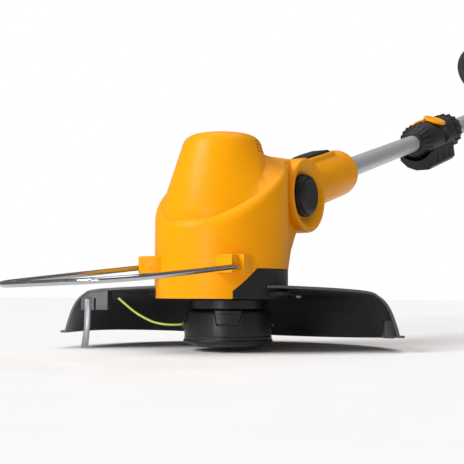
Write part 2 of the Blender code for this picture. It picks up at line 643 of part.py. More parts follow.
def make_collar(frame):
    """The telescopic collar: a ribbed nut in front, the body with its lever and foot, a ribbed ring behind."""
    s = COLLAR_START
    inner = LOWER_R + GAP
    bore = UPPER_R + GAP
    nut = ribbed([(inner, s), (15.5, s), (17.5, s + 2), (25.2, s + 22), (25.2, s + 26), (inner, s + 26)], 22,
                 [(s + 4.5, 15), (s + 4.5, 19.6), (s + 22, 26.6), (s + 25, 26.6), (s + 25, 15)], steps=22)
    finish(nut, "collar_nut", "black", frame)
    body = turned([(bore, s + 36), (bore, BODY_END), (25, BODY_END), (25.5, BODY_END - 2), (25.5, s + 34),
                   (23.5, s + 26 + GAP), (inner, s + 26 + GAP), (inner, s + 36)], "Y", (0, 0, 0), 32)
    for side in (1, -1):
        dish = turned([(0, 0), (13, 0), (12, -3), (7, -5), (0, -5.6)], "X", (26.2, s + 88, 0), 18)
        if side < 0:
            dish.data.transform(Matrix.Rotation(math.pi, 4, "Z"))
            dish.data.transform(Matrix.Translation(Vector((0, 2 * (s + 88), 0)) * MM))
        body = cut(body, dish)
    ears = [block((-31.5, s + 52, 3), (-20, s + 58, 13), 1.0), block((-31.5, s + 92, 3), (-20, s + 98, 13), 1.0)]
    body = join(body, *ears)
    body = cut(body, rod(2.0 + GAP, s + 40, s + 110, "Y", (LEVER_X, 0, LEVER_Z), 12))
    finish(body, "collar_body", "black", frame)
    finish(rod(2.0, s + 51, s + 99, "Y", (LEVER_X, 0, LEVER_Z), 12), "lever_pin", "steel", frame)
    ring = ribbed([(bore, BODY_END + GAP), (25, BODY_END + GAP), (26, BODY_END + 3), (26, BODY_END + 28),
                   (19, BODY_END + 33), (bore, BODY_END + 33)], 18,
                  [(BODY_END + 3, 20), (BODY_END + 3, 28.2), (BODY_END + 26, 28.2), (BODY_END + 30, 24),
                   (BODY_END + 30, 20)], steps=18)
    finish(ring, "collar_ring", "black", frame)
    # The foot below, which the trimmer leans on
    foot = prism([(-25, -15), (-25, -25), (-15, -36), (-2, -41.5), (17, -41.5), (22, -37), (22, -13)],
                 s + 12, s + 130, "Y")
    foot = cut(foot, rod(25.5 + GAP, s + 20, s + 140, "Y", (0, 0, 0), 32))
    foot = cut(foot, rod(27.4, s, s + 27, "Y", (0, 0, 0), 32))
    finish(foot, "collar_foot", "black", frame)
    # The clamp lever: a band from the pin over the top, ending in a round thumb pad
    band = turned([(26.4, s + 59), (29.2, s + 59), (29.2, s + 91), (26.4, s + 91)], "Y", (0, 0, 0), 32)
    wanted = prism([(-40, LEVER_Z), (-40, 20), (-30, 40), (0, 40), (0, 20), (-20, LEVER_Z)], s, s + 120, "Y")
    band = common(band, wanted)
    pad = turned([(0, 26.2), (15.5, 26.2), (17.0, 28.0), (16.0, 30.2), (10, 31.4), (0, 31.8)], "Z",
                 (1, s + 76, 0), 24)
    pad.data.transform(Matrix.Rotation(math.radians(24), 4, "Y"))
    band = join(band, pad, rod(3.8, s + 58.5, s + 91.5, "Y", (LEVER_X, 0, LEVER_Z), 16))
    band = cut(band, rod(2.0 + GAP, s + 40, s + 110, "Y", (LEVER_X, 0, LEVER_Z), 12))
    band = cut(band, rod(25.5 + GAP, s + 40, s + 110, "Y", (0, 0, 0), 32))
    finish(band, "lock_lever", "orange", frame, (LEVER_X, s + 75, LEVER_Z))


# ---------------------------------------------------------------- handles

def make_auxiliary_handle(frame):
    bore = UPPER_R + GAP
    hub = rod(23, AID_AT - 20, AID_AT + 20, "Y", (0, 0, 0), 32, bore)
    hub = join(hub, rod(16, 20, 26, "X", (0, AID_AT, 0), 28), rod(16, -26, -20, "X", (0, AID_AT, 0), 28))
    hub = cut(hub, rod(bore, AID_AT - 40, AID_AT + 40, "Y", (0, 0, 0), 32))
    finish(hub, "handle_clamp", "black", frame)
    half = [(29.8, 0), (34, 22), (48, 48), (63, 74), (66, 96), (56, 114), (36, 122)]
    path = [(x, AID_AT, z) for x, z in half] + [(0, AID_AT, 124)]
    path += [(-x, AID_AT, z) for x, z in reversed(half)]
    loop = tube(smooth_path(path, 2), 10.5, 12)
    for side in (1, -1):
        low, high = sorted((side * (26 + GAP), side * 33.0))
        loop = cut(loop, block((-26.4, AID_AT - 30, -20), (26.4, AID_AT + 30, 20)))
        loop = join(loop, rod(15.5, low, high, "X", (0, AID_AT, 0), 28))
    loop = cut(loop, rod(4.4, -60, 60, "X", (0, AID_AT, 0), 16))
    # the pivot spigots stay on the clamp's side discs
    finish(loop, "front_handle", "black", frame, (0, AID_AT, 0))
    for side, name in ((1, "left"), (-1, "right")):
        low, high = sorted((side * (26 + GAP), side * 43.0))
        bolt = rod(4.1, low, high, "X", (0, AID_AT, 0), 16)
        finish(bolt, "handle_bolt_" + name, "steel", frame)
    knob = rod(12.5, 43 + GAP, 55, "X", (0, AID_AT, 0), 24)
    for k in range(6):
        angle = math.pi / 3 * k
        flute = rod(4.5, 40, 60, "X", (0, AID_AT + 14.7 * math.cos(angle), 14.7 * math.sin(angle)), 10)
        knob = cut(knob, flute)
    finish(knob, "handle_knob", "orange", frame, (0, AID_AT, 0))


def make_grip(frame):
    """The rear handle: a closed loop for the hand, a nose on the tube and the battery's foot."""
    s = GRIP_START
    outer = [(s, -22), (s, 20), (s + 8, 24), (s + 60, 26), (s + 110, 22), (s + 190, 26), (s + 222, 30),
             (s + 236, 24), (s + 236, -74), (s + 228, -82), (s + 90, -78), (s + 62, -66), (s + 50, -30),
             (s + 12, -26)]
    body = prism(outer, -19, 19, "X", 6.0, 3)
    foot = block((-36, s + 186, -80), (36, s + 236, 26), 5.0)
    body = join(body, foot)
    hole = [(s + 68, -16), (s + 74, -11), (s + 172, -11), (s + 178, -17), (s + 178, -56), (s + 170, -64),
            (s + 96, -64), (s + 80, -58)]
    body = cut(body, prism(hole, -60, 60, "X"))
    body = cut(body, rod(UPPER_R + GAP, s - 30, UPPER_END + 1, "Y", (0, 0, 0), 32))
    room = [(s + 62, -6), (s + 62, 18), (s + 182, 18), (s + 182, -6)]
    body = cut(body, prism(room, -14, 14, "X"))
    body = cut(body, block((-30, s + 190, -72), (30, s + 230, 18)))
    body = cut(body, block((-30, s + 226, -72), (30, s + 250, 18)))
    body = cut(body, block((-5.4, s + 82, -20), (5.4, s + 134, 0)))
    body = cut(body, block((-7.4, s + 92, 10), (7.4, s + 120, 50)))
    left, right = halves(body)
    finish(left, "handle_left", "orange", frame)
    finish(right, "handle_right", "black", frame)
    trigger = prism([(s + 84, -9), (s + 132, -9), (s + 132, -14), (s + 120, -20), (s + 100, -24), (s + 88, -21)],
                    -5, 5, "X", 1.0, 2)
    finish(trigger, "trigger", "black", frame, (0, s + 130, -10))
    lock = block((-7, s + 92.5, 15), (7, s + 119.5, 28.5), 1.5)
    finish(lock, "lock_off_button", "black", frame)
    finish(block((-8, s + 92, -4.6), (8, s + 118, 7)), "switch", "dark_grey", frame)
    finish(block((-11, s + 140, -4), (11, s + 178, -1)), "control_board", "board", frame)
    coil = [(2.6 * math.cos(k * math.pi / 4), s + 106 + 2.6 * math.sin(k * math.pi / 4), 7.9 + 6.4 * k / 16)
            for k in range(17)]
    finish(tube(coil, 0.5, 6), "lock_spring", "steel", frame)
    finish(block((-29, s + 190.5, -30), (29, s + 194, 10)), "terminal_block", "dark_grey", frame)


def make_battery(frame):
    s = GRIP_START + 236
    case = block((-36, s + 0.4, -80), (36, s + 78, 26), 6.0, 3)
    case = join(case, block((-28.5, s - 36, -60), (28.5, s + 10, 14), 2.0))
    case = cut(case, block((-9.4, s + 50, 14), (9.4, s + 90, 40)))
    finish(case, "battery_pack", "black", frame)
    button = block((-9, s + 50.6, 17.5), (9, s + 74, 28.5), 1.5)
    finish(button, "battery_button", "orange", frame)


def main():
    clear_scene()
    shaft_frame = frame_empty("shaft_frame", (0, PIVOT_Y, PIVOT_Z), SHAFT_ANGLE)
    make_housing()
    make_motor()
    make_line_head()
    make_line()
    make_guard()
    guard_screws()
    make_plant_guard()
    make_pivot()
    make_arm(shaft_frame)
    make_shaft(shaft_frame)
    make_collar(shaft_frame)
    make_auxiliary_handle(shaft_frame)
    make_grip(shaft_frame)
    make_battery(shaft_frame)


main()
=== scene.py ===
"""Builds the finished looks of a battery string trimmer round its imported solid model.

The frame is in metres with +Z up and the trimmer's front along -Y. Sizes in the code are in
millimetres, and MM turns them into metres. Shaft pieces are drawn in the shaft's own frame, whose
origin is the tilt pivot and whose +Y runs up the shaft, and are then laid over by SHAFT.
"""

import math

import bmesh
import bpy
from mathutils import Matrix, Vector


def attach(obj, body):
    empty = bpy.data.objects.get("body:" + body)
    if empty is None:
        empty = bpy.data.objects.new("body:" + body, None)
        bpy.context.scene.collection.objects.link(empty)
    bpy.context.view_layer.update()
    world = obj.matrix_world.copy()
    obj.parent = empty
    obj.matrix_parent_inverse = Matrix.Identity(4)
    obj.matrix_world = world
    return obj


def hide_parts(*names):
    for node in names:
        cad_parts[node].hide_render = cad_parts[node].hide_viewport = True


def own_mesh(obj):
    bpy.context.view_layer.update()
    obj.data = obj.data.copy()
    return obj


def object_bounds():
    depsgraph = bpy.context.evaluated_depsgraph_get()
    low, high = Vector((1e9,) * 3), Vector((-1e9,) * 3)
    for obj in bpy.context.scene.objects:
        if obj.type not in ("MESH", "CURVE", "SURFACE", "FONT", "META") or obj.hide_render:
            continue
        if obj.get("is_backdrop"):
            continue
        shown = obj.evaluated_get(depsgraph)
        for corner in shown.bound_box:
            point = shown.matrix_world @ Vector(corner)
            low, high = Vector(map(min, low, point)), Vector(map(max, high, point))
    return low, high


bl_info = {
    "name": "String trimmer",
    "version": (1, 0, 0),
    "blender": (4, 5, 0),
    "location": "View3D > Sidebar > Trimmer",
    "description": "Finished pieces, materials and studio of a battery string trimmer",
    "category": "Add Mesh",
}

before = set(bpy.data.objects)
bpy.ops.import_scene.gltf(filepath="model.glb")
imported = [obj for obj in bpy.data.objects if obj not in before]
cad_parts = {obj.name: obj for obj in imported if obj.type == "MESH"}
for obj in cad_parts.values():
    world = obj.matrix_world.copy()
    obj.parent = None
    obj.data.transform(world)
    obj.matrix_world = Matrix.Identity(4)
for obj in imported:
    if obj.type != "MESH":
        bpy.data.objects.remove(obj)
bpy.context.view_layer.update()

MM = 0.001
GAP = 0.3  # between neighbours, and round a tube or a pin
SEAM = 0.03  # each half of a shell stops this far from the middle
FLAT = 32  # edges up to this many degrees are shaded smooth
ROUND = 60  # the same for rods and coils, whose facets are coarser

# Tilt pivot, and the shaft that leans back from it
PIVOT = (0.0, 86.0, 148.5)
PIVOT_R, PIN_BORE, CHEEK_IN, CHEEK_OUT = 38.0, 6.2, 21.5, 42.5
SHAFT_TILT = 16.0
SHAFT = Matrix.Translation([place * MM for place in PIVOT]) @ Matrix.Rotation(math.radians(SHAFT_TILT), 4,
        "X")

# Motor housing: a round front, a dome on it and a neck behind
HOUSING_Y, HOUSING_R, HOUSING_Z0, HEAD_TOP = -12.0, 62.0, 44.5, 198.4
DOME_R, DOME_Z, DOME_TOP_R, DOME_TOP_Z = 56.0, 129.0, 38.0, 185.0
NECK_HALF = 34.0
SLOT_ROWS, SLOT_TALL, SLOTS_IN_ROW, SLOT_STEP = (179.2, 182.4, 185.6, 188.8), 1.5, 6, 8

# Line head and plant guard
LATCH_TURN = -58.2
LUG_Y, LUG_Z = -69.6, 72.0
WIRE_FRONT_Y, WIRE_DROP, WIRE_TWIST, WIRE_CORNER = -242.0, 16.0, 0.03, 34.0

# Debris guard: its section, and the corners of its front edge
GUARD_PROFILE = ((45.0, 57.4), (100.0, 55.0), (131.0, 52.6), (140.0, 48.8), (147.0, 42.6), (152.0, 34.0),
                 (156.2, 22.0), (158.6, 13.2))
GUARD_RIGHT, GUARD_NECK, GUARD_LEFT = (-146.5, -67.0), (59.0, -31.0), (150.5, 55.0)
GUARD_WALL = 2.4

# Along the shaft from the pivot
LOWER_R, UPPER_R, COLLAR_R = 12.0, 14.0, 25.5
COLLAR_START, BODY_END = 435.0, 572.0
LEVER_PIN, LEVER_BORE = (-28.6, 0.0, 8.0), 2.3
GRIP_START, AID_AT = 1060.0, 965.0
BATTERY_START = GRIP_START + 236


def linear(hex_colour):
    """A linear RGB colour from an sRGB hex string such as "ffa300"."""
    parts = [int(hex_colour[k : k + 2], 16) / 255 for k in (0, 2, 4)]
    return tuple(c / 12.92 if c <= 0.04045 else ((c + 0.055) / 1.055) ** 2.4 for c in parts)


class TRIMMER_PG_sizes(bpy.types.PropertyGroup):
    line_diameter: bpy.props.FloatProperty(
        name="Line diameter", description="Thickness of the cutting line",
        default=0.002, min=0.001, max=0.004, unit="LENGTH")
    wire_diameter: bpy.props.FloatProperty(
        name="Wire diameter", description="Thickness of the plant guard's wire",
        default=0.0046, min=0.002, max=0.006, unit="LENGTH")
    floor_gap: bpy.props.FloatProperty(
        name="Floor gap", description="Space between the trimmer's lowest point and the floor",
        default=0.0006, min=0.0, max=0.01, unit="LENGTH")


class TRIMMER_PG_colours(bpy.types.PropertyGroup):
    shell: bpy.props.FloatVectorProperty(
        name="Shell", description="Colour of the moulded housing, arm and levers",
        subtype="COLOR", size=3, min=0.0, max=1.0, default=(0.87, 0.335, 0.001))
    black: bpy.props.FloatVectorProperty(
        name="Black plastic", description="Colour of the collar, spool cap and bracket",
        subtype="COLOR", size=3, min=0.0, max=1.0, default=linear("101011"))
    guard: bpy.props.FloatVectorProperty(
        name="Guard", description="Colour of the debris guard",
        subtype="COLOR", size=3, min=0.0, max=1.0, default=linear("4b4b4e"))
    line: bpy.props.FloatVectorProperty(
        name="Cutting line", description="Colour of the nylon cutting line",
        subtype="COLOR", size=3, min=0.0, max=1.0, default=linear("d3e26c"))


# ---------------------------------------------------------------- modelling helpers

def only(*objects):
    """Selects these objects and nothing else; the first is active."""
    if bpy.context.mode != "OBJECT":
        bpy.ops.object.mode_set(mode="OBJECT")
    bpy.ops.object.select_all(action="DESELECT")
    for obj in objects:
        obj.select_set(True)
    if objects:
        bpy.context.view_layer.objects.active = objects[0]


def drawn(points, closed=True):
    """An outline drawn by extruding one corner from point to point, left in edit mode and selected."""
    only()
    bpy.ops.mesh.primitive_plane_add(size=0.01, enter_editmode=True)
    bpy.ops.mesh.select_mode(type="VERT")
    bpy.ops.mesh.select_all(action="SELECT")
    bpy.ops.mesh.merge(type="CENTER")
    points = [Vector(p) for p in points]
    bpy.ops.transform.translate(value=points[0] * MM)
    for a, b in zip(points, points[1:] + (points[:1] if closed else [])):
        bpy.ops.mesh.extrude_region_move(TRANSFORM_OT_translate={"value": (b - a) * MM})
    bpy.ops.mesh.select_all(action="SELECT")
    if closed:
        bpy.ops.mesh.remove_doubles(threshold=1e-7)
    return bpy.context.object


def done():
    """Merges doubles, turns the faces outwards and leaves edit mode."""
    bpy.ops.mesh.select_all(action="SELECT")
    bpy.ops.mesh.remove_doubles(threshold=1e-6)
    bpy.ops.mesh.normals_make_consistent(inside=False)
    bpy.ops.object.mode_set(mode="OBJECT")
    return bpy.context.object


SPREAD = {  # where a point of an outline lies, at a place d along the axis
    "X": lambda a, b, d: (d, a, b),
    "Y": lambda a, b, d: (a, d, b),
    "Z": lambda a, b, d: (a, b, d),
}


def turned(profile, axis="Z", at=(0.0, 0.0, 0.0), steps=64):
    """A turned solid. The profile lists (radius, place along the axis) and may touch radius 0."""
    closed = all(r > 0 for r, _ in profile)
    drawn([Vector(SPREAD[axis](r, 0.0, h)) + Vector(at) for r, h in profile], closed)
    bpy.ops.mesh.spin(steps=steps, angle=2 * math.pi, center=Vector(at) * MM, axis=SPREAD[axis](0, 0, 1))
    return done()


def rod(radius, start, end, axis="Z", at=(0.0, 0.0, 0.0), steps=48, bore=0.0, chamfer=0.0):
    """A turned rod, or a tube where it has a bore, with chamfered rims."""
    outer = [(radius, start), (radius, end)]
    if chamfer:
        outer = [(radius - chamfer, start), (radius, start + chamfer), (radius, end - chamfer),
                (radius - chamfer, end)]
    return turned([(bore, start), *outer, (bore, end)], axis, at, steps)


def block(low, high, bevel=0.0, segments=3):
    """A box between two corners with rounded edges."""
    only()
    low, high = Vector(low) * MM, Vector(high) * MM
    bpy.ops.mesh.primitive_cube_add(size=1.0, location=(low + high) / 2, scale=high - low)
    bpy.ops.object.transform_apply(location=True, rotation=True, scale=True)
    bpy.ops.object.mode_set(mode="EDIT")
    bpy.ops.mesh.select_all(action="SELECT")
    if bevel:
        bpy.ops.mesh.bevel(offset=bevel * MM, segments=segments, profile=0.5)
    return done()


def prism(outline, low, high, axis="X", bevel=0.0, segments=3):
    """An outline pushed from low to high: (y, z) along X, (x, z) along Y, (x, y) along Z.

    Its two rims may be rounded.
    """
    obj = drawn([SPREAD[axis](a, b, low) for a, b in outline])
    bpy.ops.mesh.edge_face_add()
    shift = Vector(SPREAD[axis](0.0, 0.0, high - low)) * MM
    bpy.ops.mesh.extrude_region_move(TRANSFORM_OT_translate={"value": shift})
    bpy.ops.mesh.select_all(action="SELECT")
    bpy.ops.mesh.normals_make_consistent(inside=False)
    if bevel:
        way = "XYZ".index(axis)
        bpy.ops.mesh.select_mode(type="FACE")
        bpy.ops.mesh.select_all(action="DESELECT")
        shape = bmesh.from_edit_mesh(obj.data)
        for face in shape.faces:
            face.select_set(abs(face.normal[way]) > 0.99)
        bmesh.update_edit_mesh(obj.data)
        bpy.ops.mesh.region_to_loop()
        bpy.ops.mesh.bevel(offset=bevel * MM, segments=segments, profile=0.5)
        bpy.ops.mesh.select_mode(type="VERT")
    return done()


def lofted(rings):
    """A closed body through rings of corners, each extruded from the one before and moved to its place."""
    only()
    bpy.ops.mesh.primitive_circle_add(vertices=len(rings[0]), radius=0.01, fill_type="NOTHING",
            enter_editmode=True)
    obj = bpy.context.object
    bpy.ops.mesh.select_mode(type="VERT")
    shape = bmesh.from_edit_mesh(obj.data)
    for corner, place in zip(shape.verts, rings[0]):
        corner.co = Vector(place) * MM
    bmesh.update_edit_mesh(obj.data)
    bpy.ops.mesh.select_all(action="SELECT")
    bpy.ops.mesh.edge_face_add()
    for before, ring in zip(rings, rings[1:]):
        bpy.ops.mesh.extrude_region_move()
        shape = bmesh.from_edit_mesh(obj.data)
        before = [Vector(place) * MM for place in before]
        for corner in shape.verts:
            if corner.select:
                nearest = min(range(len(ring)), key=lambda k: (before[k] - corner.co).length_squared)
                corner.co = Vector(ring[nearest]) * MM
        bmesh.update_edit_mesh(obj.data)
    return done()


def bent_rod(points, radius, sides):
    """A round rod along points, with flat ends."""
    only()
    bpy.ops.curve.primitive_nurbs_path_add()
    obj = bpy.context.object
    obj.data.splines.clear()
    line = obj.data.splines.new("POLY")
    line.points.add(len(points) - 1)
    for point, place in zip(line.points, points):
        point.co = (*(Vector(place) * MM), 1.0)
    obj.data.bevel_depth = radius * MM
    obj.data.bevel_resolution = sides // 2 - 2
    obj.data.use_fill_caps = True
    bpy.ops.object.convert(target="MESH")
    bpy.ops.object.mode_set(mode="EDIT")
    return done()


def combine(obj, others, operation):
    """Applies a Boolean with each of the others, which are used up."""
    for other in others:
        only(obj)
        bpy.ops.object.modifier_add(type="BOOLEAN")
        change = obj.modifiers[-1]
        change.operation, change.solver, change.object = operation, "EXACT", other
        bpy.ops.object.modifier_apply(modifier=change.name)
        bpy.data.objects.remove(other)
    return obj


def cut(obj, *others):
    return combine(obj, others, "DIFFERENCE")


def join(obj, *others):
    return combine(obj, others, "UNION")


def common(obj, *others):
    return combine(obj, others, "INTERSECT")


def twin(obj):
    """A copy with its own mesh."""
    made = obj.copy()
    made.data = obj.data.copy()
    bpy.context.scene.collection.objects.link(made)
    return made


def moved(obj, matrix):
    """The piece laid over by a matrix, in its mesh."""
    obj.data.transform(matrix)
    return obj


def mirrored(obj):
    """A copy on the other side of X = 0, its faces turned back outwards."""
    made = moved(twin(obj), Matrix.Scale(-1, 4, (1, 0, 0)))
    only(made)
    bpy.ops.object.mode_set(mode="EDIT")
    return done()


def halved(obj, keep_left):
    """One side of the piece, cut just beside its middle seam."""
    side = 1 if keep_left else -1
    only(obj)
    bpy.ops.object.mode_set(mode="EDIT")
    bpy.ops.mesh.select_all(action="SELECT")
    bpy.ops.mesh.bisect(plane_co=(side * SEAM * MM, 0, 0), plane_no=(side, 0, 0), use_fill=True,
            clear_inner=True, clear_outer=False)
    return done()


def spun(obj, degrees, axis="Z"):
    """The piece turned about an axis through the origin."""
    return moved(obj, Matrix.Rotation(math.radians(degrees), 4, axis))


def arc(centre, radius, start, end, steps):
    """Points on a round stretch of an outline, from one angle to another."""
    turns = [math.radians(start + (end - start) * k / steps) for k in range(steps + 1)]
    return [(centre[0] + radius * math.cos(a), centre[1] + radius * math.sin(a)) for a in turns]


def smooth_path(points, per_span=6):
    """A smooth curve through points."""
    points = [Vector(p) for p in points]
    padded = [2 * points[0] - points[1], *points, 2 * points[-1] - points[-2]]
    made = []
    for a, b, c, d in zip(padded, padded[1:], padded[2:], padded[3:]):
        for k in range(per_span):
            t = k / per_span
            made.append(0.5 * (2 * b + (c - a) * t + (2 * a - 5 * b + 4 * c - d) * t**2 + (3 * b - a - 3 * c +
                    d) * t**3))
    return [*made, points[-1]]


def softened(obj, width):
    """Rounds the piece's sharp edges with a Bevel modifier."""
    only(obj)
    bpy.ops.object.modifier_add(type="BEVEL")
    rounding = obj.modifiers[-1]
    rounding.width, rounding.segments = width * MM, 2
    rounding.limit_method, rounding.angle_limit = "ANGLE", math.radians(40)
    bpy.ops.object.modifier_apply(modifier=rounding.name)
    return obj


def settled(obj, name, body, finish, node, smooth=FLAT):
    """Names a finished piece, shades it, gives it its material and hangs it on its body in a node's place."""
    obj.name = obj.data.name = name
    obj.data.materials.clear()
    obj.data.materials.append(material(finish))
    only(obj)
    bpy.ops.object.shade_smooth_by_angle(angle=math.radians(smooth), keep_sharp_edges=False)
    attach(obj, body)
    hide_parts(node)
    return obj


def on_shaft(obj, name, body, finish, node, smooth=FLAT):
    """Settles a piece that was drawn in the shaft's own frame."""
    return settled(moved(obj, SHAFT), name, body, finish, node, smooth)


# ---------------------------------------------------------------- materials

def add(tree, kind, inputs=(), **settings):
    """Adds a node, with its settings, and its inputs given as values or as sockets to link."""
    made = tree.nodes.new("ShaderNode" + kind)
    for name, value in settings.items():
        setattr(made, name, value)
    for name, value in dict(inputs).items():
        if isinstance(value, bpy.types.NodeSocket):
            tree.links.new(value, made.inputs[name])
        else:
            made.inputs[name].default_value = value
    return made


def blank(name, **sockets):
    """A new material, its tree, its shader with the uniform values set on it, and Object coordinates."""
    made = bpy.data.materials.new(name)
    made.use_nodes = True
    tree = made.node_tree
    shader = tree.nodes["Principled BSDF"]
    for socket, value in sockets.items():
        shader.inputs[socket.replace("_", " ")].default_value = value
    return made, tree, shader, add(tree, "TexCoord").outputs["Object"]


def per(size):
    """Texture scale for marks of this many millimetres."""
    return 1000.0 / size


def toned(colour, factor):
    """A lighter or darker colour, with its alpha."""
    return (*[min(1.0, c * factor) for c in colour], 1.0)


def moulded(name, colour, roughness, grain, grain_depth, light_edge, **sockets):
    """An injection-moulded plastic: spark-eroded grain, faint cloudiness of the pigment, scuffed corners."""
    made, tree, shader, place = blank(name, **sockets)
    cloud = add(tree, "TexNoise", {"Vector": place, "Scale": per(28.0), "Detail": 3.0, "Roughness": 0.6})
    body = add(tree, "Mix", {0: cloud.outputs[0], 6: toned(colour, 0.93), 7: toned(colour, 1.06)},
            data_type="RGBA")
    corner = add(tree, "Bevel", {"Radius": 0.0007}, samples=4)
    flat = add(tree, "NewGeometry").outputs["Normal"]
    along = add(tree, "VectorMath", {0: corner.outputs[0], 1: flat}, operation="DOT_PRODUCT")
    edge = add(tree, "MapRange", {0: along.outputs["Value"], 1: 0.995, 2: 0.80, 3: 0.0, 4: 1.0})
    patch = add(tree, "TexNoise", {"Vector": place, "Scale": per(6.0), "Detail": 4.0})
    worn = add(tree, "Math", {0: edge.outputs[0], 1: patch.outputs[0]}, operation="MULTIPLY")
    paint = add(tree, "Mix", {0: worn.outputs[0], 6: body.outputs[2], 7: toned(light_edge, 1.0)},
            data_type="RGBA")
    tree.links.new(paint.outputs[2], shader.inputs["Base Color"])
    smear = add(tree, "TexNoise", {"Vector": place, "Scale": per(11.0), "Detail": 5.0, "Roughness": 0.65})
    rough = add(tree, "MapRange", {0: smear.outputs[0], 1: 0.3, 2: 0.7, 3: roughness - 0.05,
            4: roughness + 0.07})
    tree.links.new(rough.outputs[0], shader.inputs["Roughness"])
    spark = add(tree, "TexNoise", {"Vector": place, "Scale": per(grain), "Detail": 2.0})
    bump = add(tree, "Bump", {"Height": spark.outputs[0], "Strength": 0.35, "Distance": grain_depth * MM,
            "Normal": corner.outputs[0]})
    tree.links.new(bump.outputs[0], shader.inputs["Normal"])
    return made


def orange_shell(name):
    # Glossy ABS moulding: a clean bright skin with soft broad highlights and a barely seen eroded grain
    shell = tuple(bpy.context.scene.trimmer_colours.shell)
    return moulded(name, shell, 0.33, 0.9, 0.03, (0.93, 0.42, 0.01), IOR=1.54, Specular_IOR_Level=0.11)


def black_nylon(name):
    # Glass-filled nylon moulding: near black, satin, its eroded grain drawn a little coarse so that it shows
    black = tuple(bpy.context.scene.trimmer_colours.black)
    return moulded(name, black, 0.46, 0.8, 0.06, linear("404042"), IOR=1.53, Specular_IOR_Level=0.35)


def spool_nylon(name):
    # Nylon run against grass: the same moulding polished by use, with a greyer skin
    return moulded(name, linear("0e0e0f"), 0.34, 1.1, 0.04, linear("505053"), IOR=1.53,
            Specular_IOR_Level=0.4)


def button_nylon(name):
    # Bump button: nylon greyed by knocking on the ground
    return moulded(name, linear("3f4042"), 0.5, 1.4, 0.1, linear("85868a"), IOR=1.53)


def guard_polypropylene(name):
    # Impact-grade polypropylene: dark grey, waxy and slightly shiny where it is stretched round the skirt
    guard = tuple(bpy.context.scene.trimmer_colours.guard)
    return moulded(name, guard, 0.32, 1.2, 0.05, linear("6c6d70"), IOR=1.49)


def soft_rubber(name):
    # Thermoplastic rubber overmould: black and dull, with a coarse matt grain
    return moulded(name, linear("1d1d1e"), 0.68, 1.0, 0.1, linear("3c3c3d"), IOR=1.5)


def metal(name, colour, roughness, streak, streak_depth, stretch, metallic=1.0):
    """A metal whose fine drawn or ground streaks run along one axis of the piece."""
    made, tree, shader, place = blank(name, Metallic=metallic)
    turn = add(tree, "Mapping", {"Vector": place, "Rotation": (math.radians(-SHAFT_TILT), 0, 0),
            "Scale": stretch})
    lines = add(tree, "TexNoise", {"Vector": turn.outputs[0], "Scale": per(streak), "Detail": 3.0})
    tint = add(tree, "Mix", {0: lines.outputs[0], 6: toned(colour, 0.86), 7: toned(colour, 1.08)},
            data_type="RGBA")
    tree.links.new(tint.outputs[2], shader.inputs["Base Color"])
    haze = add(tree, "TexNoise", {"Vector": place, "Scale": per(9.0), "Detail": 4.0})
    mixed = add(tree, "Math", {0: lines.outputs[0], 1: haze.outputs[0]}, operation="MULTIPLY")
    rough = add(tree, "MapRange", {0: mixed.outputs[0], 1: 0.1, 2: 0.5, 3: roughness - 0.06,
            4: roughness + 0.08})
    tree.links.new(rough.outputs[0], shader.inputs["Roughness"])
    corner = add(tree, "Bevel", {"Radius": 0.0003}, samples=4)
    bump = add(tree, "Bump", {"Height": lines.outputs[0], "Strength": 0.3, "Distance": streak_depth * MM,
            "Normal": corner.outputs[0]})
    tree.links.new(bump.outputs[0], shader.inputs["Normal"])
    return made


def anodised_tube(name):
    # Satin anodised aluminium: pale grey with faint lengthwise drawing lines, its thick oxide more
    # milky than mirror, so its metallic value is under 1
    return metal(name, linear("c0c1c4"), 0.38, 1.2, 0.02, (1.0, 0.02, 1.0), 0.45)


def plated_wire(name):
    # Bright nickel-plated steel wire: mirror-like, a little hazy
    return metal(name, linear("b9babc"), 0.13, 1.0, 0.006, (1.0, 0.1, 1.0))


def ground_steel(name):
    # Ground stainless steel: grey, with short grinding lines
    return metal(name, linear("8f9195"), 0.34, 0.8, 0.02, (0.08, 1.0, 1.0))


def nylon_line(name):
    # Extruded monofilament nylon: yellow-green, partly clear, with a smooth shine and soft lengthwise dulling
    made, tree, shader, place = blank(name, IOR=1.53, Transmission_Weight=0.15, Subsurface_Weight=0.25)
    shader.inputs["Subsurface Radius"].default_value = (0.002, 0.002, 0.0006)
    line = tuple(bpy.context.scene.trimmer_colours.line)
    dull = add(tree, "TexNoise", {"Vector": place, "Scale": per(3.0), "Detail": 3.0})
    tint = add(tree, "Mix", {0: dull.outputs[0], 6: toned(line, 0.9), 7: toned(line, 1.08)}, data_type="RGBA")
    tree.links.new(tint.outputs[2], shader.inputs["Base Color"])
    rough = add(tree, "MapRange", {0: dull.outputs[0], 1: 0.3, 2: 0.7, 3: 0.25, 4: 0.42})
    tree.links.new(rough.outputs[0], shader.inputs["Roughness"])
    return made


def wound_line(name):
    # The stock of monofilament on the reel: fine parallel turns, 2 mm apart, seen as ridges round it
    made, tree, shader, place = blank(name, IOR=1.53, Roughness=0.4)
    line = tuple(bpy.context.scene.trimmer_colours.line)
    turns = add(tree, "TexWave", {"Vector": place, "Scale": per(2.0) / 20 * math.pi, "Distortion": 0.4},
            wave_type="BANDS", bands_direction="Z")
    # Painted shade: the colour falls to 0.55 of the line's own in the grooves between the turns, where the
    # bump dips
    tint = add(tree, "Mix", {0: turns.outputs[0], 6: toned(line, 0.55), 7: toned(line, 1.0)},
            data_type="RGBA")
    tree.links.new(tint.outputs[2], shader.inputs["Base Color"])
    bump = add(tree, "Bump", {"Height": turns.outputs[0], "Strength": 0.8, "Distance": 0.0006})
    tree.links.new(bump.outputs[0], shader.inputs["Normal"])
    return made


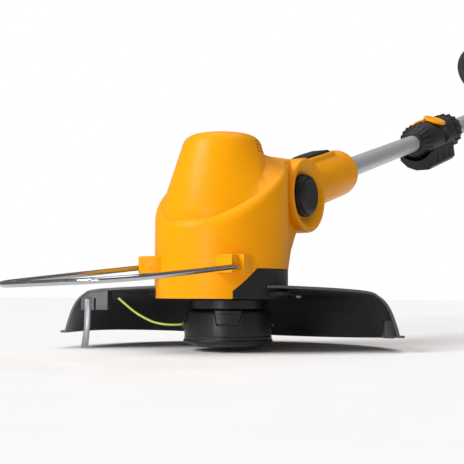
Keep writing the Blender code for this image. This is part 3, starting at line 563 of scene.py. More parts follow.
def circuit_board(name):
    # Glass-epoxy board under green solder mask: shiny, with faint darker tracks 1.5 mm wide
    made, tree, shader, place = blank(name, IOR=1.55, Roughness=0.28)
    tracks = add(tree, "TexVoronoi", {"Vector": place, "Scale": per(4.0)}, distance="MANHATTAN")
    tint = add(tree, "Mix", {0: tracks.outputs[0], 6: (*linear("0d3d1f"), 1.0), 7: (*linear("1c6b39"), 1.0)},
            data_type="RGBA")
    tree.links.new(tint.outputs[2], shader.inputs["Base Color"])
    return made


FINISHES = {
    "shell": ("Moulded ABS, orange", orange_shell),
    "black": ("Glass-filled nylon, black", black_nylon),
    "spool": ("Glass-filled nylon, polished", spool_nylon),
    "button": ("Glass-filled nylon, knocked", button_nylon),
    "guard": ("Moulded polypropylene, grey", guard_polypropylene),
    "rubber": ("Overmoulded rubber", soft_rubber),
    "tube": ("Anodised aluminium, satin", anodised_tube),
    "wire": ("Nickel-plated wire", plated_wire),
    "steel": ("Ground stainless steel", ground_steel),
    "line": ("Monofilament nylon", nylon_line),
    "wound": ("Monofilament nylon, wound", wound_line),
    "board": ("Glass-epoxy board", circuit_board),
}
INNER_WORKS = {
    "control_board": "board", "cooling_fan": "black", "handle_bolt_left": "steel",
    "handle_bolt_right": "steel", "lever_pin": "steel", "line_winding": "wound", "motor": "steel",
    "motor_bearing": "steel", "motor_plate": "black", "motor_shaft": "steel", "pivot_pin": "steel",
    "shaft_bush": "black", "spool": "spool", "switch": "black", "terminal_block": "black",
    "tilt_disc": "steel", "tilt_latch": "steel",
}


def material(finish):
    """The finish's material, made when it is first asked for."""
    name, make = FINISHES[finish]
    return bpy.data.materials.get(name) or make(name)


# ---------------------------------------------------------------- motor housing

def ledge_height(y):
    """Height of the side walls' top edge, which sweeps up from the front to the pivot."""
    share = min(1.0, max(0.0, (y + 65.0) / 150.0))
    return 115.0 + 70.0 * math.sin(math.pi / 2 * share)


def housing_plan(inset):
    """The head's plan, round in front and narrowing to the neck behind."""
    front = arc((0.0, HOUSING_Y), HOUSING_R - inset, 27, -207, 80)
    neck, back = NECK_HALF - inset, PIVOT[1]
    right = [(-neck - 13, 30), (-neck - 8, 40), (-neck - 3, 51), (-neck, 62), (-neck, 74), (-neck, back)]
    left = [(-x, y) for x, y in reversed(right)]
    across = [(-neck * (1 - k / 4), back) for k in range(1, 8)]
    return front + right + across + left


def housing_rings():
    plan = housing_plan(0.0)
    slope = (DOME_R - DOME_TOP_R) / (DOME_TOP_Z - DOME_Z)
    ways = [Vector((x, y - HOUSING_Y)).normalized() for x, y in plan]

    def walls(inset, lift):
        return [(x, y, ledge_height(y) + lift) for x, y in housing_plan(inset)]

    def foot_of_dome(lift):
        made = []
        for way in ways:
            z = min(ledge_height(HOUSING_Y + DOME_R * way.y) + lift, DOME_TOP_Z - 1.5)
            radius = DOME_R - (z - DOME_Z) * slope
            made.append((way.x * radius, HOUSING_Y + way.y * radius, z))
        return made

    def level(radius, z):
        return [(way.x * radius, HOUSING_Y + way.y * radius, z) for way in ways]

    return [
        [(x, y, HOUSING_Z0) for x, y in plan],
        walls(0.0, -9.0), walls(0.25, -6.8), walls(0.9, -4.6), walls(1.8, -2.8), walls(3.0, -1.4),
        walls(4.4, -0.4), walls(6.0, 0.0), foot_of_dome(10.0),
        level(DOME_TOP_R, DOME_TOP_Z), level(DOME_TOP_R - 0.6, DOME_TOP_Z + 2.6),
        level(DOME_TOP_R - 1.8, DOME_TOP_Z + 5.4), level(DOME_TOP_R - 3.6, DOME_TOP_Z + 7.9),
        level(DOME_TOP_R - 6.0, DOME_TOP_Z + 9.8), level(DOME_TOP_R - 9.0, DOME_TOP_Z + 11.2),
        level(DOME_TOP_R - 12.5, HEAD_TOP - 1.4), level(DOME_TOP_R - 17.0, HEAD_TOP - 0.5),
        level(DOME_TOP_R - 22.0, HEAD_TOP),
    ]


def lug(side):
    """An ear at the housing's front that holds the plant guard's leg, with a notch where the leg bends in."""
    plan = [(28, -66), (36, -72), (49.6, -73.6), (49.6, -62.6), (55, -62.6), (55, -55), (52, -44), (36, -44)]
    return prism([(side * x, y) for x, y in plan], 66.5, 82.5, "Z", 1.2)


def bracket_band(clearance):
    """The band round the housing's back that the guard bracket fills."""
    ring = rod(HOUSING_R + clearance, HOUSING_Z0 - 5, 71 + clearance, "Z", (0, HOUSING_Y, 0), 96,
            HOUSING_R - 3.4 - clearance)
    side_view = [(-58 - clearance, 30), (-58 - clearance, 51 + clearance),
            (-40 - clearance, 71.1 + clearance), (90, 71.1 + clearance), (90, 30)]
    return common(ring, prism(side_view, -90, 90, "X"))


def pivot_cheeks():
    half = [(31.4, CHEEK_OUT - 1.2), (32.4, CHEEK_OUT - 0.2), (33.4, CHEEK_OUT), (PIVOT_R - 3, CHEEK_OUT),
            (PIVOT_R - 1.6, CHEEK_OUT - 0.4), (PIVOT_R - 0.7, CHEEK_OUT - 1.3), (PIVOT_R, CHEEK_OUT - 4)]
    profile = [(0, CHEEK_OUT - 8), (23, CHEEK_OUT - 8), *half]
    profile += [(r, -x) for r, x in reversed(profile)]
    return turned(profile, "X", PIVOT, 96)


def finish_housing():
    body = lofted(housing_rings())
    under = prism([(10, 30), (10, 72), (50, 72), (76, 114), (120, 114), (120, 30)], -90, 90)
    body = cut(body, cut(under, rod(HOUSING_R, 20, 130, "Z", (0, HOUSING_Y, 0), 96)))
    body = join(body, pivot_cheeks(), lug(1), lug(-1))
    dish = [(0, CHEEK_OUT - 8), (23, CHEEK_OUT - 8), (31, CHEEK_OUT - 1.5), (32.5, CHEEK_OUT + 0.1),
            (32.5, 50), (0, 50)]
    for side in (1, -1):
        body = cut(body, turned([(r, side * x) for r, x in dish], "X", PIVOT, 96))
        low, high = sorted((side * 36.0, side * 52.6))
        body = cut(body, rod(2.35, low, high, "X", (0, LUG_Y, LUG_Z), 24))
    body = cut(body, rod(42, -CHEEK_IN, CHEEK_IN, "X", PIVOT, 96))
    swing = [(PIVOT[1] + y, PIVOT[2] + z) for y, z in ((0, 0), (12, 90), (90, 60), (90, -60))]
    body = cut(body, prism(swing, -CHEEK_IN, CHEEK_IN), rod(PIN_BORE, -60, 60, "X", PIVOT, 32))
    room = [(0, 30), (54.5, 30), (54.5, 108), (48, 124), (33, 185), (26, 193), (0, 195)]
    body = cut(body, turned(room, "Z", (0, HOUSING_Y, 0), 64), bracket_band(GAP))
    slots = [moved(block((26, -1.9, z), (60, 1.9, z + SLOT_TALL)),
            Matrix.Translation((0, HOUSING_Y * MM, 0)) @ Matrix.Rotation(math.radians(turn + SLOT_STEP * k),
            4, "Z")) for turn in (2, 138) for z in SLOT_ROWS for k in range(SLOTS_IN_ROW)]
    only(*slots)
    bpy.ops.object.join()
    body = cut(body, slots[0])
    left = twin(body)
    settled(halved(left, True), "housing_shell_left", "head", "shell", "housing_left")
    settled(halved(body, False), "housing_shell_right", "head", "shell", "housing_right")


# ---------------------------------------------------------------- line head

def finish_line_head():
    cap = turned([(36, 3.6), (41.0, 3.6), (41.6, 3.9), (41.9, 4.4), (41.9, 6.0), (41.5, 6.5), (41.0, 7.0),
            (41.0, 9.4), (40.5, 9.7), (40.5, 10.3), (41.0, 10.6), (41.0, 31.0), (40.7, 32.2), (40.0, 33.2),
            (39.0, 34.0), (37.8, 34.6), (35.8, 34.6), (38.2, 30.4), (38.2, 6.4), (36, 6.4)], steps=128)
    for turn in (0, 180):
        window = prism([(-10.5, 20.5), (10.5, 20.5), (13.6, 40), (-13.6, 40)], 30, 50, "Y", 0.0)
        cap = cut(cap, spun(window, turn + LATCH_TURN - 90),
                spun(rod(3.2, 30, 50, "X", (0, 0, 20), 24), turn + LATCH_TURN - 90))
    settled(cap, "spool_cap_shell", "line_head", "spool", "spool_cap")
    for turn, name in ((0, "front"), (180, "rear")):
        band = turned([(38.6, 21.2), (41.0, 21.2), (41.4, 21.8), (41.4, 33.6), (41.0, 34.2), (38.6, 34.2)],
                steps=128)
        tab = common(band, prism([(-9.8, 21), (9.8, 21), (12.4, 35), (-12.4, 35)], 30, 50, "Y"))
        tab = cut(tab, prism([(-7.6, 31.6), (-7.2, 30.4), (7.2, 30.4), (7.6, 31.6)], 40.8, 46, "Y"))
        settled(spun(tab, turn + LATCH_TURN - 90), name + "_latch_tab", "latch_" + name, "spool",
                name + "_latch")
    eye = [(1.6, 35.8), (4.6, 35.8), (4.6, 37.2), (2.8, 37.2), (2.8, 41.3), (4.0, 41.5), (4.4, 41.9),
            (4.2, 42.3), (3.2, 42.4), (2.0, 42.3), (1.6, 41.9)]
    for turn, name in ((0, "front"), (180, "rear")):
        made = spun(turned(eye, "X", (0, 0, 20), 40), turn + LATCH_TURN - 90)
        settled(made, name + "_eyelet", "line_head", "steel", "line_eyelet_" + name)


def finish_bump_button():
    button = turned([(0, 0.4), (9, 0.2), (12, 0), (30.0, 0), (32.4, 0.5), (34.0, 1.3), (35.0, 2.4),
            (35.0, 3.2), (32, 3.2), (32, 7), (29, 8.8), (0, 8.8)], steps=96)
    for k in range(8):
        button = cut(button, spun(block((16, -1.5, -1), (27, 1.5, 0.7), 0.4, 2), 45 * k))
    settled(button, "bump_button_shell", "reel", "button", "bump_button")


def finish_carrier():
    carrier = turned([(4.3, 30), (10, 30), (10, 38.2), (34.5, 38.2), (34.5, 35.2), (37.5, 35.2), (37.5, 43.0),
            (36.9, 43.6), (4.3, 43.6)], steps=96)
    settled(carrier, "drive_cup", "line_head", "spool", "spool_carrier")


# ---------------------------------------------------------------- guard

def guard_place():
    """The frame of the guard's front edge at its right-hand tip."""
    along = Vector((GUARD_RIGHT[0] + GUARD_NECK[0], GUARD_RIGHT[1] - GUARD_NECK[1]))
    turn = Matrix.Rotation(math.atan2(along.y, along.x) + math.pi, 4, "Z")
    return Matrix.Translation(Vector((*GUARD_RIGHT, 0)) * MM) @ turn


def drooped(obj):
    """Bends the guard down behind."""
    for corner in obj.data.vertices:
        corner.co.z -= 0.00026 * max(0.0, corner.co.y / MM + 20.0) ** 2 * MM
    return obj


def guard_profile():
    """The guard's outer section with its bends drawn smooth."""
    points = smooth_path([(r, z, 0) for r, z in GUARD_PROFILE], 4)
    return [(p.x, p.y) for p in points]


def finish_guard():
    outer = guard_profile()
    lip = [(162.4, 13.2), (163.0, 12.6), (163.0, 11.6), (162.4, 11.0), (156.2, 11.0)]
    shares = (0, 0, 0.1, 0.5, 0.75, 0.9, 1, 1)
    inner = []
    for k, (r, z) in enumerate(outer[:-1]):
        share = shares[k // 4] + (shares[min(7, k // 4 + 1)] - shares[k // 4]) * (k % 4) / 4
        inner.append((r - GUARD_WALL * share, z - GUARD_WALL * (1 - 0.75 * share)))
    guard = turned([*outer, *lip, *reversed(inner)], steps=160)
    wedge = [GUARD_RIGHT, (-GUARD_NECK[0], GUARD_NECK[1]), GUARD_NECK, GUARD_LEFT, (301, 110), (320, -320),
            (-320, -320), (-293, -134)]
    guard = cut(guard, prism(wedge, -20, 120, "Z"), rod(HOUSING_R + GAP, 20, 90, "Z", (0, HOUSING_Y, 0), 96))
    holder = prism([(18.3, 33), (44.8, 33), (44.8, 53.4), (31, 51.6), (22, 49.4), (18.3, 47)], 0.6, 15.0, "Y")
    holder = cut(holder, block((31.2, -1, 30), (33.0, 9, 44)), block((21.4, -1, 30), (28.4, 3.0, 44.2)))
    guard = join(guard, moved(holder, guard_place()), spun(block((146, -7, 10.2), (155.5, 7, 27), 1.0), 32))
    settled(drooped(guard), "debris_guard", "head", "guard", "guard", 28)


def finish_cutter():
    blade = prism([(21.8, 43.6), (28.0, 43.6), (27.6, 22), (25.6, -3), (18.6, -3.4), (21.2, 14)], 0.9, 2.3,
            "Y")
    softened(blade, 0.18)
    settled(moved(blade, guard_place()), "line_cutter_blade", "head", "steel", "line_cutter")


def finish_bracket():
    band = cut(bracket_band(0.0), block((-200, -200, -50), (200, 200, HOUSING_Z0)))
    flange = rod(HOUSING_R + 12, 47.6, 50.6, "Z", (0, HOUSING_Y, 0), 96, HOUSING_R - 2, 0.5)
    flange = cut(flange, block((-200, -200, 0), (200, -28, 100)))
    settled(join(band, flange), "guard_bracket_band", "head", "black", "guard_bracket")
    for side, name in ((1, "left"), (-1, "right")):
        at = (side * 66 * math.cos(math.radians(25)), HOUSING_Y + 68 * math.sin(math.radians(35)), 0)
        screw = turned([(0, 45.6), (1.2, 45.6), (1.5, 44.9), (3.4, 44.9), (4, 45.5), (4, 47.3), (0, 47.3)],
                "Z", at, 32)
        settled(screw, "guard_screw_head_" + name, "head", "steel", "guard_screw_" + name)


# ---------------------------------------------------------------- plant guard

def finish_plant_guard():
    def height(x, y):
        return LUG_Z - (WIRE_DROP - WIRE_TWIST * x) * (LUG_Y - y) / (LUG_Y - WIRE_FRONT_Y)

    half = [(37.5, LUG_Y), (44, LUG_Y), (49.0, LUG_Y), (50.6, -69.8), (51.6, -70.5), (52.15, -71.4),
            (52.3, -72.6)]
    half += [(52.3 + 11.7 * k / 12, -72.6 - 135.4 * k / 12) for k in range(1, 13)]
    half += arc((30.0, WIRE_FRONT_Y + WIRE_CORNER), WIRE_CORNER, 0, -90, 24)[1:]
    both = half + [(0.0, WIRE_FRONT_Y)] + [(-x, y) for x, y in reversed(half)]
    radius = bpy.context.scene.trimmer_sizes.wire_diameter / MM / 2
    wire = bent_rod([(x, y, height(x, y)) for x, y in both], radius, 20)
    settled(wire, "plant_guard_wire", "wire_guard", "wire", "plant_guard", ROUND)


# ---------------------------------------------------------------- tilt pivot and arm

def finish_pivot_caps():
    steps = [(0, 34.8), (22.0, 34.8), (22.0, 36.8), (21.7, 37.2), (20.9, 37.4), (20.9, 37.8), (21.6, 38.2),
            (21.6, 39.4), (21.3, 39.8), (20.4, 40.1), (20.2, 42.0), (19.7, 42.7), (18.0, 43.6), (15.0, 44.0),
            (14.4, 43.6), (13.6, 43.6), (13.0, 44.0), (0, 44.0)]
    cap = turned(steps, "X", PIVOT, 96)
    other = mirrored(cap)
    settled(cap, "pivot_cover_left", "head", "black", "pivot_cap_left")
    settled(other, "pivot_cover_right", "head", "black", "pivot_cap_right")


def finish_arm():
    barrel = rod(34, -CHEEK_IN + 0.7, CHEEK_IN - 0.7, "X", (0, 0, 0), 96, 0, 0.8)
    neck = prism([(0, -24), (0, 30), (60, 26), (60, -26)], -CHEEK_IN + 0.7, CHEEK_IN - 0.7, "X", 2.0)
    socket = turned([(0, 44), (20, 44), (25.5, 48), (27.5, 56), (27.5, 160), (27.3, 162.8), (26.6, 165.4),
            (25.5, 167), (24.0, 168.8), (21.5, 171), (20.2, 171.8), (18.5, 172), (0, 172)], "Y", steps=96)
    seat = block((-13.5, 60, 18), (13.5, 138, 29.4), 2.5)
    arm = join(barrel, neck, socket, seat)
    arm = cut(arm, rod(LOWER_R + GAP, 110, 198, "Y", steps=48),
            block((-10.6, 64.4, 12), (10.6, 133.6, 60), 1.2), rod(PIN_BORE, -60, 60, "X", steps=32),
            rod(20, -7.5, 7.5, "X", steps=48), block((-7.5, 0, -9), (7.5, 108, 9)))
    other = twin(arm)
    left, right = halved(other, True), halved(arm, False)
    on_shaft(left, "arm_shell_left", "shaft", "shell", "arm_left")
    on_shaft(right, "arm_shell_right", "shaft", "shell", "arm_right")


def finish_pedal():
    side = smooth_path([(65, 28.5, 0), (72, 31.5, 0), (86, 32.4, 0), (100, 32.6, 0), (116, 32.5, 0),
            (128, 32, 0), (133, 28.5, 0)], 3)
    pedal = prism([(65, 22), *[(p.x, p.y) for p in side], (133, 22)], -10, 10, "X", 1.2)
    for k in range(9):
        pedal = cut(pedal, block((-7.5, 76 + 5.2 * k, 31.6), (7.5, 78 + 5.2 * k, 40)))
    on_shaft(pedal, "tilt_pedal_shell", "foot_pedal", "black", "tilt_pedal")


# ---------------------------------------------------------------- shaft and collar

def finish_tubes():
    lower = rod(LOWER_R, 112, 700, "Y", (0, 0, 0), 96, 10.8, 0.3)
    on_shaft(lower, "shaft_tube_lower", "shaft", "tube", "lower_tube")
    upper = rod(UPPER_R, 472, 1115, "Y", (0, 0, 0), 96, 13.0, 0.3)
    on_shaft(upper, "shaft_tube_upper", "handle", "tube", "upper_tube")


def ribbed(profile, ribs, rib_profile, width, steps=96):
    """A turned ring along Y with straight round-edged ribs standing on it."""
    ring = turned(profile, "Y", (0, 0, 0), steps)
    rib = prism(rib_profile, -width / 2, width / 2, "X", 0.7, 2)
    for k in range(ribs):
        ring = join(ring, spun(twin(rib), 360 * k / ribs, "Y"))
    bpy.data.objects.remove(rib)
    return ring


def finish_collar_rings():
    s, bore = COLLAR_START, UPPER_R + GAP
    nut = ribbed([(LOWER_R + GAP, s), (14.9, s), (15.5, s + 0.4), (17.5, s + 2), (24.4, s + 20.4),
            (25.2, s + 22.6), (25.2, s + 25.4), (24.6, s + 26), (LOWER_R + GAP, s + 26)], 22,
            [(s + 4.5, 15), (s + 4.5, 19.4), (s + 21, 25.9), (s + 22.6, 26.6), (s + 25, 26.6), (s + 25, 15)],
            2.8)
    on_shaft(nut, "collar_cone_nut", "clamp_nut", "black", "collar_nut")
    e = BODY_END
    ring = ribbed([(bore, e + 0.3), (25, e + 0.3), (26, e + 2), (26, e + 28), (24.6, e + 30.4), (19, e + 33),
            (bore, e + 33)], 18, [(e + 3, 20), (e + 3, 28.2), (e + 26, 28.2), (e + 30, 24), (e + 30, 20)],
            3.2)
    on_shaft(ring, "collar_rear_nut", "rear_nut", "black", "collar_ring")


def finish_collar_body():
    s = COLLAR_START
    body = turned([(14.3, s + 36), (14.3, BODY_END), (24.6, BODY_END), (25.3, BODY_END - 0.7),
            (25.5, BODY_END - 2), (25.5, s + 112), (24.9, s + 112.6), (24.9, s + 114), (25.5, s + 114.6),
            (25.5, s + 34), (25.1, s + 31), (23.5, s + 26.3), (12.3, s + 26.3), (12.3, s + 36)], "Y",
            steps=96)
    dish = turned([(0, 0), (13.3, 0), (13.0, -0.8), (12.2, -2.6), (10.2, -4.2), (7, -5.1), (3.5, -5.5),
            (0, -5.6)], "X", (26.2, s + 88, 0), 64)
    other = moved(twin(dish), Matrix.Translation((0, 2 * (s + 88) * MM, 0)) @ Matrix.Rotation(math.pi, 4,
            "Z"))
    body = cut(body, dish, other)
    for low in (52, 92):
        body = join(body, block((-31.5, s + low, 3), (-20, s + low + 6, 13), 1.4))
    body = cut(body, rod(LEVER_BORE, s + 40, s + 110, "Y", LEVER_PIN, 24))
    on_shaft(body, "collar_barrel", "handle", "black", "collar_body")
    foot = prism([(-25, -15), (-25, -25), (-15, -36), (-2, -41.5), (17, -41.5), (22, -37), (22, -13)], s + 12,
            s + 130, "Y", 1.6)
    foot = cut(foot, rod(COLLAR_R + GAP, s + 20, s + 140, "Y", steps=96), rod(27.4, s, s + 27, "Y", steps=96))
    for low in (34, 62, 90):
        foot = cut(foot, block((21.0, s + low, -34), (30, s + low + 16, -19), 1.0))
    on_shaft(foot, "collar_rest", "handle", "black", "collar_foot")


def finish_lever():
    s = COLLAR_START
    band = turned([(26.4, s + 59.6), (27.0, s + 59), (28.6, s + 59), (29.2, s + 59.8), (29.2, s + 90.2),
            (28.6, s + 91), (27.0, s + 91), (26.4, s + 90.4)], "Y", steps=128)
    band = common(band, prism([(-40, 8), (-40, 20), (-30, 40), (0, 40), (0, 20), (-20, 8)], s, s + 120, "Y"))
    pad = turned([(0, 26.2), (15.5, 26.2), (16.6, 26.9), (17.0, 28.0), (16.8, 29.2), (16.0, 30.1),
            (14.0, 30.6), (12.4, 30.7), (11.4, 30.2), (8.0, 29.9), (0, 29.8)], "Z", (1, s + 76, 0), 96)
    band = join(band, spun(pad, 24, "Y"), rod(3.8, s + 58.5, s + 91.5, "Y", LEVER_PIN, 48))
    band = cut(band, rod(LEVER_BORE, s + 40, s + 110, "Y", LEVER_PIN, 24),
            rod(COLLAR_R + GAP, s + 40, s + 110, "Y", steps=96))
    on_shaft(band, "clamp_lever_shell", "clamp_lever", "shell", "lock_lever")


# ---------------------------------------------------------------- handles and battery

def finish_front_handle():
    hub = rod(23, AID_AT - 20, AID_AT + 20, "Y", (0, 0, 0), 96, 14.3, 1.2)
    hub = join(hub, rod(16, 20, 26, "X", (0, AID_AT, 0), 64), rod(16, -26, -20, "X", (0, AID_AT, 0), 64))
    hub = cut(hub, rod(14.3, AID_AT - 40, AID_AT + 40, "Y", steps=96))
    on_shaft(hub, "handle_clamp_hub", "handle", "black", "handle_clamp")
    half = [(29.8, 0), (34, 22), (48, 48), (63, 74), (66, 96), (56, 114), (36, 122)]
    path = [(x, AID_AT, z) for x, z in half] + [(0, AID_AT, 124)] + [(-x, AID_AT, z) for x,
            z in reversed(half)]
    loop = bent_rod(smooth_path(path, 6), 10.5, 32)
    loop = cut(loop, block((-26.4, AID_AT - 30, -20), (26.4, AID_AT + 30, 20)))
    for side in (1, -1):
        low, high = sorted((side * 26.3, side * 33.0))
        loop = join(loop, rod(15.5, low, high, "X", (0, AID_AT, 0), 64, 0, 0.8))
    loop = cut(loop, rod(4.4, -60, 60, "X", (0, AID_AT, 0), 24))
    on_shaft(loop, "front_handle_loop", "aid_handle", "rubber", "front_handle")
    knob = rod(12.5, 43.3, 55, "X", (0, AID_AT, 0), 64, 0, 1.2)
    for k in range(6):
        turn = math.pi / 3 * k
        at = (0, AID_AT + 14.7 * math.cos(turn), 14.7 * math.sin(turn))
        knob = cut(knob, rod(4.5, 40, 60, "X", at, 32))
    on_shaft(knob, "handle_knob_shell", "aid_knob", "shell", "handle_knob")


def finish_rear_handle():
    s = GRIP_START
    outer = [(s, -22), (s, 20), (s + 8, 24), (s + 34, 25.6), (s + 60, 26), (s + 86, 24.2), (s + 110, 22),
            (s + 150, 22.6), (s + 190, 26), (s + 222, 30), (s + 231, 28.4), (s + 236, 24), (s + 236, -74),
            (s + 228, -82), (s + 160, -80.6), (s + 90, -78), (s + 74, -73.6), (s + 62, -66), (s + 55, -48),
            (s + 50, -30), (s + 12, -26)]
    body = join(prism(outer, -19, 19, "X", 6.0, 5), block((-36, s + 186, -80), (36, s + 236, 26), 5.0, 4))
    hole = [(s + 68, -16), (s + 70, -13), (s + 74, -11), (s + 172, -11), (s + 176, -13), (s + 178, -17),
            (s + 178, -56), (s + 175.5, -61.5), (s + 170, -64), (s + 96, -64), (s + 86, -62), (s + 80, -58)]
    body = cut(body, prism(hole, -60, 60), rod(14.3, s - 30, 1116, "Y", steps=64))
    body = cut(body, prism([(s + 62, -6), (s + 62, 18), (s + 182, 18), (s + 182, -6)], -14, 14),
            block((-30, s + 190, -72), (30, s + 230, 18)), block((-30, s + 226, -72), (30, s + 250, 18)),
            block((-5.4, s + 82, -20), (5.4, s + 134, 0)), block((-7.4, s + 92, 10), (7.4, s + 120, 50)))
    for k in range(7):
        for side in (1, -1):
            low, high = sorted((side * 35.2, side * 40.0))
            body = cut(body, block((low, s + 194, -66 + 11 * k), (high, s + 228, -63.6 + 11 * k)))
    left = twin(body)
    on_shaft(halved(left, True), "rear_handle_left", "handle", "shell", "handle_left")
    on_shaft(halved(body, False), "rear_handle_right", "handle", "shell", "handle_right")
    trigger = prism([(s + 84, -9), (s + 132, -9), (s + 132, -14), (s + 126, -17.4), (s + 120, -20),
            (s + 110, -22.6), (s + 100, -24), (s + 92, -23.4), (s + 88, -21)], -5, 5, "X", 1.4)
    on_shaft(trigger, "trigger_shell", "switch_trigger", "black", "trigger")
    lock = block((-7, s + 92.5, 15), (7, s + 119.5, 28.5), 2.0)
    for k in range(5):
        lock = cut(lock, block((-5.4, s + 97 + 4 * k, 27.9), (5.4, s + 98.6 + 4 * k, 32)))
    on_shaft(lock, "lock_off_shell", "lock_off", "black", "lock_off_button")


def finish_battery():
    s = BATTERY_START
    case = join(block((-36, s + 0.4, -80), (36, s + 78, 26), 7.0, 5),
            block((-28.5, s - 36, -60), (28.5, s + 10, 14), 2.0))
    case = cut(case, block((-9.4, s + 50, 14), (9.4, s + 90, 40)))
    for k in range(6):
        for side in (1, -1):
            low, high = sorted((side * 35.4, side * 40.0))
            case = cut(case, block((low, s + 14, -62 + 13 * k), (high, s + 66, -58.6 + 13 * k), 0.3, 1))
    on_shaft(case, "battery_case", "battery", "black", "battery_pack")
    button = block((-9, s + 50.6, 17.5), (9, s + 74, 28.5), 2.0)
    on_shaft(button, "battery_release_shell", "battery_release", "shell", "battery_button")


# ---------------------------------------------------------------- springs

def coil(radius, wire, low, high, turns, centre=(0.0, 0.0), per_turn=20):
    """A round-wire compression spring, its turns along the third axis."""
    steps = turns * per_turn
    points = []
    for k in range(steps + 1):
        turn = math.tau * k / per_turn
        points.append((centre[0] + radius * math.cos(turn), centre[1] + radius * math.sin(turn),
                low + (high - low) * k / steps))
    return bent_rod(points, wire, 10)


def finish_springs():
    """Makes the bump, pedal and lock springs, each with its own mesh."""
    bump = settled(coil(8.6, 0.8, 12.0, 28.7, 3), "bump_spring_coil", "line_head", "steel", "bump_spring",
            ROUND)
    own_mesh(bump)
    s = 78
    pedal = on_shaft(coil(3.4, 0.5, 13.2, 20.6, 3, (0, s)), "pedal_spring_coil", "shaft", "steel",
            "pedal_spring", ROUND)
    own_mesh(pedal)
    s = GRIP_START + 106
    lock = on_shaft(coil(2.6, 0.5, 7.9, 14.2, 2, (0, s)), "lock_spring_coil", "handle", "steel",
            "lock_spring", ROUND)
    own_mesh(lock)


# ---------------------------------------------------------------- line, camera and studio

def finish_cutting_line():
    away = math.radians(LATCH_TURN - 90)
    points = []
    for reach, height, sway in ((43.2, 20, 0), (51, 19.6, 0), (60, 20, 1), (70, 22, 2), (80, 26.5, 3),
            (89, 32, 4), (97, 38.5, 4), (104, 44.5, 4)):
        points.append((reach * math.cos(away) + sway * math.sin(away),
                reach * math.sin(away) - sway * math.cos(away), height))
    path = smooth_path(points, 3)
    sizes = bpy.context.scene.trimmer_sizes
    line = bent_rod(path, sizes.line_diameter / MM / 2, 20)
    settled(line, "cutting_line_end", "line_head", "line", "cutting_line", ROUND)
    points = [p * MM for p in path]


def place_camera():
    camera = bpy.data.objects.new("Camera", bpy.data.cameras.new("Camera"))
    bpy.context.scene.collection.objects.link(camera)
    camera.data.lens, camera.data.sensor_width = 66.28, 36.0
    camera.data.clip_start, camera.data.clip_end = 0.01, 50.0
    right, up = Vector((0.849892, 0.526944, 0.003720)), Vector((0.034904, -0.063336, 0.997382))
    camera.matrix_world = Matrix.Translation((0.42853, -0.68433, 0.04881)) @ \
        Matrix((right, up, right.cross(up))).transposed().to_4x4()
    bpy.context.scene.camera = camera


def lamp(name, way, angle, strength):
    """A broad soft light from far away; way points from the trimmer to it, and angle is how wide it looks."""
    made = bpy.data.objects.new(name, bpy.data.lights.new(name, "SUN"))
    bpy.context.scene.collection.objects.link(made)
    made.data.angle, made.data.energy = math.radians(angle), strength
    made.location = Vector(way) * 2
    made.rotation_euler = Vector(way).to_track_quat("Z", "Y").to_euler()


def build_studio():
    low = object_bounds()[0].z - bpy.context.scene.trimmer_sizes.floor_gap
    only()
    bpy.ops.mesh.primitive_plane_add(size=14.0, location=(0, 0, low))
    floor = bpy.context.object
    bpy.ops.object.transform_apply(location=True, rotation=True, scale=True)
    floor.name = "Studio_floor"
    made, tree, shader, place = blank("Matt painted board", Roughness=0.85)
    mottle = add(tree, "TexNoise", {"Vector": place, "Scale": per(60.0), "Detail": 3.0})
    tint = add(tree, "Mix", {0: mottle.outputs[0], 6: (0.86, 0.86, 0.86, 1), 7: (0.9, 0.9, 0.9, 1)},
            data_type="RGBA")
    tree.links.new(tint.outputs[2], shader.inputs["Base Color"])
    floor.data.materials.append(made)
    floor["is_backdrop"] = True
    lamp("Key", (-0.40, -0.72, 0.57), 30, 2.5)
    lamp("Top", (0.1, 0.0, 0.99), 60, 1.4)
    lamp("Low", (0.1, -0.99, 0.06), 16, 0.7)
    world = bpy.data.worlds.new("Studio")
    bpy.context.scene.world = world
    world.use_nodes = True
    tree = world.node_tree
    # White paper to look at, but dim enough as a light to leave the pieces their shading
    seen = add(tree, "LightPath").outputs["Is Camera Ray"]
    paper = add(tree, "MapRange", {0: seen, 3: 0.2, 4: 1.0})
    tree.links.new(paper.outputs[0], tree.nodes["Background"].inputs["Strength"])
    tree.nodes["Background"].inputs["Color"].default_value = (1.0, 1.0, 1.0, 1.0)
    bpy.context.scene.view_settings.view_transform = "Standard"


def finish_inner_works():
    """Gives every CAD solid that still shows its finish, with crisp corners and smooth rounds."""
    for name, finish in INNER_WORKS.items():
        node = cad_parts[name]
        node.data.materials.clear()
        node.data.materials.append(material(finish))
        for face in node.data.polygons:
            face.use_smooth = True
        weld = node.modifiers.new("Weld", "WELD")
        weld.merge_threshold = 1e-6
        crisp = node.modifiers.new("Crisp corners", "EDGE_SPLIT")
        crisp.split_angle = math.radians(FLAT)


# ---------------------------------------------------------------- operators and panel

class TRIMMER_OT_camera(bpy.types.Operator):
    """Place the camera at the trimmer's front left side"""

    bl_idname = "trimmer.camera"
    bl_label = "Camera"

    def execute(self, context):
        place_camera()
        return {"FINISHED"}


class TRIMMER_OT_cutting_line(bpy.types.Operator):
    """Make the free end of the cutting line"""

    bl_idname = "trimmer.cutting_line"
    bl_label = "Cutting line"

    def execute(self, context):
        finish_cutting_line()
        return {"FINISHED"}


class TRIMMER_OT_housing(bpy.types.Operator):
    """Make both halves of the motor housing"""

    bl_idname = "trimmer.housing"
    bl_label = "Motor housing"

    def execute(self, context):
        finish_housing()
        return {"FINISHED"}


class TRIMMER_OT_line_head(bpy.types.Operator):
    """Make the spool cap, its latches and eyelets"""

    bl_idname = "trimmer.line_head"
    bl_label = "Line head"

    def execute(self, context):
        finish_line_head()
        return {"FINISHED"}


